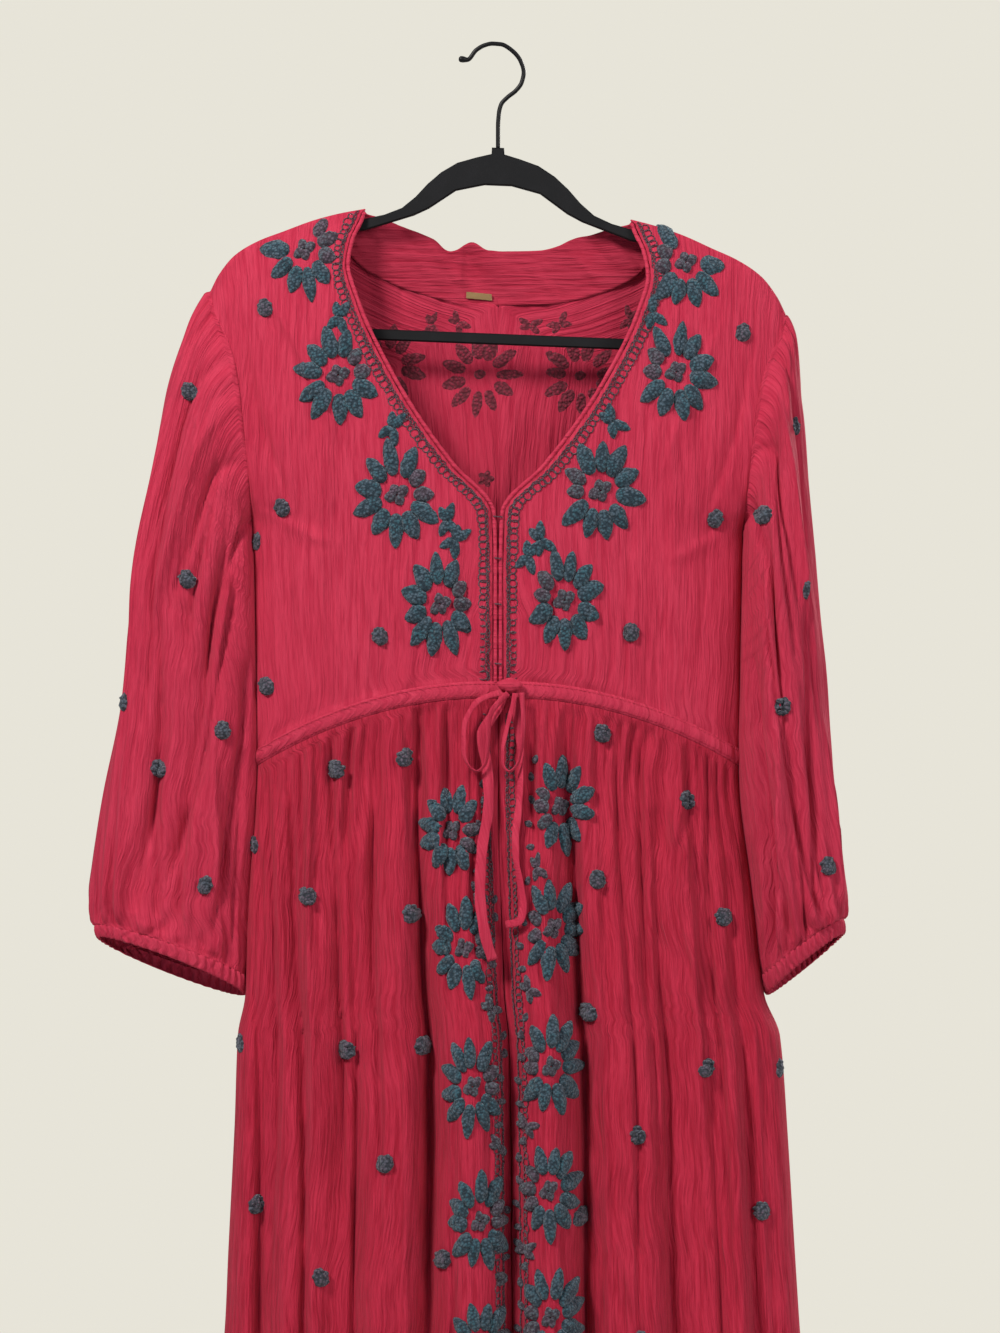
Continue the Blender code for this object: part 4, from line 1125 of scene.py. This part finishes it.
def flower(yarn, hearts, tree, x, z, size=1.0, squeeze=1.0, way=1, seed=0, edge=None):
    # the petals that face the dress's edge are short, round and greyer
    rng = np.random.default_rng(seed)
    for k, turn, ring, long, wide in petalRing(rng, size, "outside"):
        nearEdge = edge is not None and math.cos(turn - edge) > 0.80
        if nearEdge:
            long, wide = long * 0.72, wide * 0.86
        petal(hearts if nearEdge else yarn, tree, x + math.cos(turn) * ring * squeeze,
              z + math.sin(turn) * ring, turn, long, wide, squeeze, way=way, seed=seed * 31 + k)
    for k in range(4):
        turn = 0.4 + k * math.pi / 2 + (rng.random() - 0.5) * 0.5
        petal(hearts, tree, x + math.cos(turn) * 0.6 * squeeze, z + math.sin(turn) * 0.4, turn,
              flowerPlan["heart"] * size * (1.1 if k % 2 == 0 else 0.85), flowerPlan["heart"] * size,
              squeeze, thick=2.8, way=way, seed=seed * 17 + k)


sprigPlan = {"fan": (0.45, 1.25, 3.5, 4.6), "long": (13.5, 11, 12, 14), "wide": 7.6}


def sprig(yarn, tree, x, z, turn, size=1.0, squeeze=1.0, way=1, seed=0, thick=2.6):
    # a little star of four leaves
    for k, (fan, long) in enumerate(zip(sprigPlan["fan"], sprigPlan["long"])):
        petal(yarn, tree, x, z, turn + fan, long * size, sprigPlan["wide"] * size, squeeze,
              thick=thick, way=way, seed=seed * 13 + k)


# flowers: photo pixel of the centre, size, and how much its fold narrows it
bodiceFlowers = [(303, 247, 1.00, 0.82), (338, 375, 1.00, 0.84), (397, 495, 1.04, 0.84),
                 (440, 604, 1.02, 0.76), (687, 260, 0.99, 0.82), (676, 372, 0.98, 0.82),
                 (600, 491, 1.03, 0.84), (564, 600, 1.04, 0.74)]
skirtFlowers = {"left": [(452, 830), (464, 945), (473, 1080), (480, 1212)],
                "right": [(560, 806), (552, 926), (550, 1060), (548, 1182)],
                "pitch": 123, "drift": 1.5, "toRow": 1880, "size": 0.94, "squeeze": 0.70}
# leaves and small stitches beside the skirt's flowers, left and right, in mm
valleyPlan = {"left": 19, "right": -17, "sprigDown": 44, "rises": (31, 18, 2, -14, -29)}
sprigs = [(392, 427, 0.3), (455, 540, 0.1), (338, 316, 0.5), (652, 312, 1.0), (612, 422, 1.3),
          (540, 540, 1.1), (447, 521, 0.8), (528, 556, 0.4)]
frontKnots = [  # photo pixels, and edgeKnots too
    (264, 306), (281, 507), (716, 518), (744, 331), (380, 636), (631, 632), (188, 390), (187, 579),
    (265, 686), (222, 730), (157, 769), (205, 885), (763, 515), (781, 706), (827, 865), (336, 769),
    (405, 757), (602, 733), (688, 800), (308, 895), (411, 912), (597, 878), (723, 917), (347, 1048),
    (423, 1043), (588, 1010), (706, 1066), (387, 1157), (636, 1130), (256, 1205), (580, 1212),
    (761, 1210), (444, 1252), (322, 1272), (641, 1330),
]
edgeKnots = [(122, 702), (255, 540), (252, 846), (239, 1045), (797, 425), (806, 590), (781, 1070)]
lowerKnots = [  # below the photograph, in mm
    (-160, -1010), (-96, -1080), (-190, -1150), (-130, -1230), (-70, -1180), (-200, -1310),
    (-100, -1320), (90, -1040), (160, -1000), (120, -1130), (205, -1120), (80, -1230),
    (170, -1250), (110, -1330), (225, -1330),
]


def makeSkirtFlowers(side, yarn, hearts, front):
    spots = list(skirtFlowers[side])
    while spots[-1][1] + skirtFlowers["pitch"] < skirtFlowers["toRow"]:
        column, row = spots[-1]
        spots.append((column + skirtFlowers["drift"], row + skirtFlowers["pitch"]))
    inner = valleyPlan[side]
    for k, (column, row) in enumerate(spots):
        x, z = atPixel(column, row)
        flower(yarn, hearts, front, x, z, skirtFlowers["size"], skirtFlowers["squeeze"],
               seed=40 + k + len(side), edge=0.0 if side == "left" else math.pi)
        sprig(hearts, front, x + inner, z - valleyPlan["sprigDown"], 1.0 + 0.4 * k, 0.85, 0.8, seed=k)
        for step, rise in enumerate(valleyPlan["rises"]):
            petal(hearts, front, x + inner * (1.12 + 0.1 * (step % 2)), z + rise, 1.2 + 0.5 * step,
                  7.0, 5.4, 0.85, thick=2.0, seed=k * 7 + step)


def makeNeedlework():
    yarn, hearts, knots = Heap(), Heap(), Heap()
    front = treeOf(frontNames)
    for k, (column, row, size, squeeze) in enumerate(bodiceFlowers):
        x, z = atPixel(column, row)
        flower(yarn, hearts, front, x, z, size, squeeze, seed=k + 1, edge=0.3 if x < 0 else 2.9)
    for side in ("left", "right"):
        makeSkirtFlowers(side, yarn, hearts, front)
    for k, (column, row, turn) in enumerate(sprigs):
        sprig(yarn, front, *atPixel(column, row), turn, 1.05, seed=60 + k)
    for spots, first, squeeze in ((frontKnots, 0, 1.0), (edgeKnots, 700, knotPlan["edgeSqueeze"])):
        for k, (column, row) in enumerate(spots):
            knot(knots, front, *atPixel(column, row), seed=first + k, squeeze=squeeze)
    for k, (x, z) in enumerate(lowerKnots):
        knot(knots, front, x, z, seed=200 + k)
    makeBackNeedlework(yarn, hearts, knots)
    yarn.finish("flowerPetals", tealYarn)
    hearts.finish("flowerHearts", mauveYarn)
    knots.finish("scatteredKnots", greyYarn)
    print("needlework made")


backPlan = {"flowers": [(-150, -218, 0.72), (-84, -233, 0.86), (-13, -241, 0.88), (62, -242, 0.86),
                        (130, -226, 0.80)],
            "sprigs": [(-112, -196), (-50, -203), (-30, -202), (24, -204), (46, -203), (98, -199)],
            "small": (-9, -318), "rows": 10, "topRow": -330, "spacing": 103.04,
            "sideKnots": [(-238, -300), (-232, -420), (-262, -520), (-225, -600), (212, -330),
                          (222, -450), (226, -560), (236, -640)]}


def makeBackNeedlework(yarn, hearts, knots):
    behind = treeOf(backNames)
    for k, (x, z, size) in enumerate(backPlan["flowers"]):
        flower(yarn, hearts, behind, x, z, size, way=-1, seed=80 + k, edge=math.pi / 2)
    for k, (x, z) in enumerate(backPlan["sprigs"]):
        sprig(yarn, behind, x, z, 0.7 * k, 0.8, way=-1, seed=90 + k)
    knot(knots, behind, *backPlan["small"], way=-1, seed=301)
    rng = np.random.default_rng(12)
    for row in range(backPlan["rows"]):
        z = backPlan["topRow"] - backPlan["spacing"] * row
        half = 150 if z > -560 else 165 + (-z - 560) * 0.07
        count = 3 + row % 2
        for k in range(count):
            x = -half + 2 * half * (k + 0.5) / count + (rng.random() - 0.5) * 26
            if -490 < z < -455 or (row == 0 and k == 1):  # the casing, and the small knot above
                continue
            knot(knots, behind, x, z + (rng.random() - 0.5) * 22, way=-1, seed=400 + row * 9 + k)
    for k, (x, z) in enumerate(backPlan["sideKnots"]):
        knot(knots, behind, x, z, way=-1, seed=500 + k)


makeNeedlework()

# the back's needlework seen from inside: flat, dark threads on the inner face
insideTouch = {"thick": 0.45, "heart": (11, 10), "star": (7, 6), "starLeaves": 5}


def makeInnerThreads():
    heap = Heap()
    shell = bpy.data.objects["back"].evaluated_get(bpy.context.evaluated_depsgraph_get())
    mesh = shell.to_mesh()
    tree = BVHTree.FromPolygons([tuple(v.co) for v in mesh.vertices],
                                [tuple(p.vertices) for p in mesh.polygons])
    shell.to_mesh_clear()
    thick = insideTouch["thick"]
    for k, (x, z, size) in enumerate(backPlan["flowers"]):
        rng = np.random.default_rng(80 + k)
        for j, turn, ring, long, wide in petalRing(rng, size, "inside"):
            petal(heap, tree, x + math.cos(turn) * ring, z + math.sin(turn) * ring, turn, long, wide,
                  thick=thick, seed=k * 20 + j)
        long, wide = insideTouch["heart"]
        petal(heap, tree, x - 5, z, 0.2, long * size, wide * size, thick=thick, seed=k)
    for k, (x, z) in enumerate(backPlan["sprigs"]):
        sprig(heap, tree, x, z, 0.7 * k, 0.8, seed=90 + k, thick=thick)
    for j in range(insideTouch["starLeaves"]):
        petal(heap, tree, *backPlan["small"], j * 1.257, *insideTouch["star"], thick=thick, seed=j)
    heap.finish("innerThreads", innerYarn)
    print("inner threads made")


makeInnerThreads()

# looped chain beside the edges: a row of scallops and a row of small links
trimPlan = {"off": {"scallop": 7.0, "chain": 3.2}, "valleyOff": {"scallop": 10.5, "chain": 6.5},
            "ring": 8, "sides": 4, "lift": 0.5,
            "scallop": {"pitch": 4.7, "halfLong": 2.8, "halfWide": 3.0, "thread": 0.46},
            "chain": {"pitch": 2.8, "halfLong": 1.9, "halfWide": 0.8, "thread": 0.40}}


def bodiceLine(cut, side, firstRow, lastRow, off):
    rows = np.linspace(firstRow, lastRow, 400)
    wide = readAt(cut, "x_out", "row", rows) - readAt(cut, "x_in", "row", rows)
    return bodice(cut, side, rows, off / wide)


def skirtLine(side, off):
    v = np.linspace(0.012, 0.995, 500)
    drop = 480 + 890 * v
    return skirt(True, side, off / readAt(skirtCut, "half", "drop", drop), v)


def link(heap, place, normal, along, size, plump):  # one looped stitch, a small ring of thread
    long, wide, thread = size["halfLong"] * plump, size["halfWide"] * plump, size["thread"]
    aside = normal.cross(along).normalized()
    points, faces = [], []
    ring, sides = trimPlan["ring"], trimPlan["sides"]
    for a in range(ring):
        turn = 2 * math.pi * a / ring
        spoke = along * math.cos(turn) * long + aside * math.sin(turn) * wide
        middle = place + (spoke + normal * (trimPlan["lift"] + 0.2 * math.sin(turn))) * mm
        out = spoke.normalized()
        for b in range(sides):
            roll = 2 * math.pi * b / sides
            points.append(middle + (out * math.cos(roll) + normal * math.sin(roll)) * thread * mm)
    for a in range(ring):
        for b in range(sides):
            here, after = a * sides, ((a + 1) % ring) * sides
            beside = (b + 1) % sides
            faces.append((here + b, here + beside, after + beside, after + b))
    heap.add(points, faces)


def stitchLine(heap, tree, line, size, way, seed):
    rng = np.random.default_rng(seed)
    far = lengthsAlong(line)
    count = int(far[-1] / (size["pitch"] * mm))
    at = np.linspace(0, far[-1], count)
    centres = np.stack([np.interp(at, far, line[:, k]) for k in range(3)], axis=1)
    for i in range(1, count - 1):
        along = Vector(centres[i + 1] - centres[i - 1]).normalized()
        stray = (rng.random() - 0.5) * 0.8 * mm
        place, normal = onCloth(tree, centres[i][0] + stray, centres[i][2], way)
        if place is None:
            continue
        turned = (along + normal.cross(along) * (rng.random() - 0.5) * 1.1).normalized()
        link(heap, place, normal, turned, size, 0.72 + 0.5 * rng.random())


def makeTrim():
    heap = Heap()
    front, behind = treeOf(frontNames), treeOf(backNames)
    lines = []
    for side in (-1, 1):
        for kind, off in trimPlan["off"].items():
            lines.append((front, bodiceLine(frontCut, side, 1.4, 11.93, off), kind, 1))
            lines.append((behind, bodiceLine(backCut, side, 1.6, 7, off), kind, -1))
        for kind, off in trimPlan["valleyOff"].items():
            lines.append((front, skirtLine(side, off), kind, 1))
    for number, (tree, line, kind, way) in enumerate(lines):
        stitchLine(heap, tree, line, trimPlan[kind], way, number)
    heap.finish("loopTrim", trimYarn)
    print("trim made")


makeTrim()

# rolled edge along the neckline and the split
bindingSize = {"radius": 1.5, "steps": 260, "sides": 10}


def makeBinding(name, side, node):
    rows = np.linspace(1.6, 11.96, bindingSize["steps"])
    edge = bodice(frontCut, side, rows, np.zeros(len(rows)))
    off = (2 * dress["seam"] + bindingSize["radius"]) * mm
    route = []
    for i in range(len(edge)):
        along = edge[min(i + 3, len(edge) - 1)] - edge[max(i - 3, 0)]
        into = Vector((along[2] * side, 0, -along[0] * side)).normalized()
        route.append(Vector(edge[i]) + into * off + Vector((0, 0.5 * dress["wall"] * mm, 0)))
    radii = [bindingSize["radius"] * mm * (1 + 0.07 * math.sin(i * 0.9) + 0.05 * math.sin(i * 0.37))
             for i in range(len(route))]
    mesh = meshOf(name, *tubeMesh(route, radii, bindingSize["sides"]))
    weaveByPlace(mesh, lambda co: (co.z, co.x))
    addPiece(name, mesh, redBand, [node])


makeBinding("bindingLeft", -1, "neck_binding_left")
makeBinding("bindingRight", 1, "neck_binding_right")

# drawstring: a flattened cloth tube, tied in a bow
tieSize = {"thick": 0.75, "sides": 12, "tailOff": 2.8, "loopOff": 8.0, "finer": 5}
# the knot's grooves have a depth, a place and a width, and its strap a depth, a slope and a width
tieKnotSize = {"at": (8.8, -471.6), "radii": (9.0, 4.6, 5.5), "seat": 0.4, "faces": (40, 24),
               "groove": (0.13, 0.46, 0.09), "strap": (0.06, 0.35, 0.12)}
tailLeft = tableOf(
    "x z", (4.8, -476.8), (3.4, -483), (-4, -494), (-12, -509), (-8, -529), (-6.6, -556),
    (-11.7, -592), (-13, -620), (-9.5, -651), (-3.7, -670))
tailRight = tableOf(
    "x z", (12.6, -477.4), (14, -500), (16.8, -525), (15.3, -556), (12.4, -588), (16.5, -618),
    (18.5, -634), (14, -643.5), (5.8, -645))
loopLeft = tableOf(
    "x z", (2.2, -476.9), (-2, -478), (-13, -482), (-21, -492), (-25, -505), (-25, -520),
    (-20.5, -531), (-14.5, -534.5), (-9, -528), (-7.2, -514), (-7, -499), (-3, -488), (4, -481),
    (7.4, -477.4))
loopRight = tableOf(
    "x z", (12.4, -477.4), (11, -485), (8, -497), (4.5, -512), (3, -525), (7, -534.5),
    (13, -531), (17, -518), (18.5, -500), (17.4, -477.0))


def skirtFrontY(x, z):
    # the solids' own skirt front, and the furthest it stands out near a place
    far = skirtCut["front"][0] + waist["puff"]
    middle = float(readAt(skirtCut, "centre", "drop", -z))
    half = float(readAt(skirtCut, "half", "drop", -z))
    for step in (-6, -3, 0, 3, 6):
        s = abs(x + step - middle) / half
        side = -1 if x + step < middle else 1
        top = waistZ(s * waist["half"]) - waist["tall"] - dress["seam"]
        for rise in (-12, 0, 12):
            level = min(z + rise, top)
            depth = readAt(skirtCut, "front", "drop", -level)
            lift = foldLift(frontFolds, side * s * foldPlan["measuredAt"], -level)
            lift = lift + gatherWave(top - level, s, side)
            far = max(far, float(depth * flatRound(s) + lift * flatRound(s ** 3)))
    return far


def makeTie(name, table, count, off, node, halfWide, twists):
    xs, zs = smoothRoute(table, count)
    coarse = np.stack([xs, [-skirtFrontY(x, z) - off for x, z in zip(xs, zs)], zs], axis=1)
    far = lengthsAlong(coarse)
    lined = {"far": far, "x": coarse[:, 0], "y": coarse[:, 1], "z": coarse[:, 2]}
    at = np.linspace(0, far[-1], count * tieSize["finer"])
    route = [Vector(p) for p in placed(*(readAt(lined, k, "far", at) for k in ("x", "y", "z")))]
    length = sum((b - a).length for a, b in zip(route, route[1:]))
    shares = np.linspace(0, 1, len(twists))
    twist = [np.interp(i / (len(route) - 1), shares, twists) for i in range(len(route))]
    radii = [halfWide * mm * (1 - 0.10 * math.sin(i * 0.31) ** 2) for i in range(len(route))]
    mesh = meshOf(name, *tubeMesh(route, radii, tieSize["sides"], tieSize["thick"] / halfWide, twist))
    weaveByPlace(mesh, lambda co: (co.x + co.y, co.z))
    item = addPiece(name, mesh, tieCloth, [node])
    tuple(route[0])
    [tuple(p) for p in route]


# how far each ribbon turns its face away from the front, along its length, in radians
makeTie("tieTailLeft", tailLeft, 18, tieSize["tailOff"], "tie_tail_left", 4.2,
        (0.8, 0.3, 0.1, -0.3, 0.2, 0.0, 0.1, 0.0))
makeTie("tieTailRight", tailRight, 16, tieSize["tailOff"], "tie_tail_right", 3.1,
        (0.6, 0.2, 0.9, 0.6, 0.2, 0.8, 0.4, 0.2))
makeTie("tieLoopLeft", loopLeft, 16, tieSize["loopOff"], "tie_loop_left", 2.3,
        (0.2, 0.3, 0.5, 0.7, 1.3, 1.0, 0.6, 0.4, 0.2))
makeTie("tieLoopRight", loopRight, 15, tieSize["loopOff"], "tie_loop_right", 2.0,
        (0.2, 0.4, 0.6, 0.9, 1.3, 1.0, 0.6, 0.4, 0.2))


def makeKnot():  # the strap of the bow wraps once round the middle
    bm = bmesh.new()
    around, along = tieKnotSize["faces"]
    bmesh.ops.create_uvsphere(bm, u_segments=around, v_segments=along, radius=1)
    rx, ry, rz = tieKnotSize["radii"]
    deep, offset, wide = tieKnotSize["groove"]
    strapDeep, slope, strapWide = tieKnotSize["strap"]
    for vert in bm.verts:
        x, y, z = vert.co
        pinch = 1 - 0.12 * abs(x)
        groove = 1 - deep * math.exp(-((abs(x) - offset) / wide) ** 2)
        groove -= strapDeep * math.exp(-((z - slope * x) / strapWide) ** 2)
        vert.co = (x * rx * mm, y * ry * pinch * groove * mm, z * rz * pinch * groove * mm)
    mesh = bpy.data.meshes.new("tieKnot")
    bm.to_mesh(mesh)
    bm.free()
    mesh.shade_smooth()
    out = skirtCut["front"][0] + waist["puff"] + dress["seam"] + ry - tieKnotSize["seat"]
    x, z = tieKnotSize["at"]
    mesh.transform(Matrix.Translation(Vector((x, -out, z)) * mm))
    weaveByPlace(mesh, lambda co: (co.z, co.x))
    addPiece("tieKnot", mesh, tieCloth, ["tie_knot"])


makeKnot()
print("drawstring made")

# stitch lines: short dashes of thread along the casing
stitchPlan = {"rows": (0.10, 0.90), "out": 0.75, "long": 2.3, "pitch": 3.4, "radius": 0.22,
              "rise": (0.12, 0.28, 0.12)}


def makeStitches():
    heap = Heap()
    for share in stitchPlan["rows"]:
        line = casingRow(share, waist["puff"] * stitchPlan["out"])
        far = lengthsAlong(line)
        count = int(far[-1] / (stitchPlan["pitch"] * mm))
        for i in range(count):
            route = []
            for k, rise in enumerate(stitchPlan["rise"]):
                at = far[-1] * i / count + stitchPlan["long"] * mm * k / 2
                point = Vector([float(np.interp(at, far, line[:, c])) for c in range(3)])
                away = Vector((point.x / 5, point.y, 0)).normalized()
                route.append(point + away * rise * mm)
            heap.add(*tubeMesh(route, stitchPlan["radius"] * mm, 5, up=Vector((0, 0, 1))))
    heap.finish("casingStitches", tieCloth, "red_gauze")
    print("stitches made")


makeStitches()

# hanger: the coated body and its wire hook
hookSize = {"wire": 1.6, "ball": 1.5, "steps": 150, "sides": 14}
hookLine = tableOf(
    "x z", (-29, -10.5), (-23, -11), (-16, -3.5), (-10, 0.2), (-4, 1.7), (2, 1.5), (9, -1.8),
    (16.5, -10), (19, -18.5), (17.5, -26), (13, -32.5), (7, -37.5), (2.3, -43), (0.6, -50),
    (0, -60), (0, -74.9))


def makeHook():
    xs, zs = smoothRoute(hookLine, hookSize["steps"])
    route = [Vector(p) for p in placed(xs, 0 * xs, zs)]
    radii = []
    for i in range(len(route)):
        ball = 1 + (hookSize["ball"] - 1) * math.exp(-((i - 3) / 3.2) ** 2)
        radii.append(hookSize["wire"] * mm * ball * (0.55 if i == 0 else 1))
    mesh = meshOf("hookWire", *tubeMesh(route, radii, hookSize["sides"]))
    addPiece("hookWire", mesh, hookCoat, ["hanger_hook"])


makeHook()

nodeLooks = {"hanger_body": hangerCoat, "woven_label": labelWeave, "hook_and_eye_1": trimYarn,
             "hook_and_eye_2": trimYarn, "hook_and_eye_3": trimYarn, "hook_and_eye_4": trimYarn}
for nodeName, nodeMaterial in nodeLooks.items():
    bpy.data.objects[nodeName].data.materials.clear()
    bpy.data.objects[nodeName].data.materials.append(nodeMaterial)
print("hanger made")

# floor, light and air
room = {"floorZ": -1.47, "floorRadius": 1.15, "wall": (0.80, 0.775, 0.69), "air": (0.92, 0.95, 1.0),
        "airStrength": 0.27, "lampColour": (1.0, 0.965, 0.92), "aim": (0, 0, -0.6)}
lamps = {  # place, size and power
    "windowLight": ((-1.35, -1.75, 1.3), 0.6, 78),
    "sideLight": ((1.7, -1.9, 0.6), 1.2, 32),
    "backLight": ((1.7, 2.0, 0.8), 0.9, 72),
}


def makeRoom():
    bm = bmesh.new()
    bmesh.ops.create_circle(bm, cap_ends=True, segments=96, radius=room["floorRadius"])
    mesh = bpy.data.meshes.new("floor")
    bm.to_mesh(mesh)
    bm.free()
    floor = bpy.data.objects.new("floor", mesh)
    floor.location = (0, 0, room["floorZ"])
    bpy.context.scene.collection.objects.link(floor)
    mesh.materials.append(coatedMaterial("floorPaint", (0.72, 0.70, 0.64), (0.76, 0.74, 0.68), 0.75,
                                         300.0, 0.05))
    world = bpy.data.worlds.new("paleRoom")
    world.use_nodes = True
    nodes, links = world.node_tree.nodes, world.node_tree.links
    air = nodes["Background"]  # what lights the dress
    air.inputs["Color"].default_value = (*room["air"], 1)
    air.inputs["Strength"].default_value = room["airStrength"]
    wall = nodes.new("ShaderNodeBackground")  # what shows behind it
    wall.inputs["Color"].default_value = (*room["wall"], 1)
    either = nodes.new("ShaderNodeMixShader")
    links.new(nodes.new("ShaderNodeLightPath").outputs["Is Camera Ray"], either.inputs["Fac"])
    links.new(air.outputs["Background"], either.inputs[1])
    links.new(wall.outputs["Background"], either.inputs[2])
    links.new(either.outputs["Shader"], nodes["World Output"].inputs["Surface"])
    bpy.context.scene.world = world
    bpy.context.scene.view_settings.view_transform = "Standard"
    for name, (place, size, power) in lamps.items():
        data = bpy.data.lights.new(name, "AREA")
        data.size, data.energy, data.color = size, power, room["lampColour"]
        lamp = bpy.data.objects.new(name, data)
        lamp.location = place
        towards = Vector(room["aim"]) - Vector(place)
        lamp.rotation_euler = towards.to_track_quat("-Z", "Y").to_euler()
        bpy.context.scene.collection.objects.link(lamp)


makeRoom()
print("room ready")
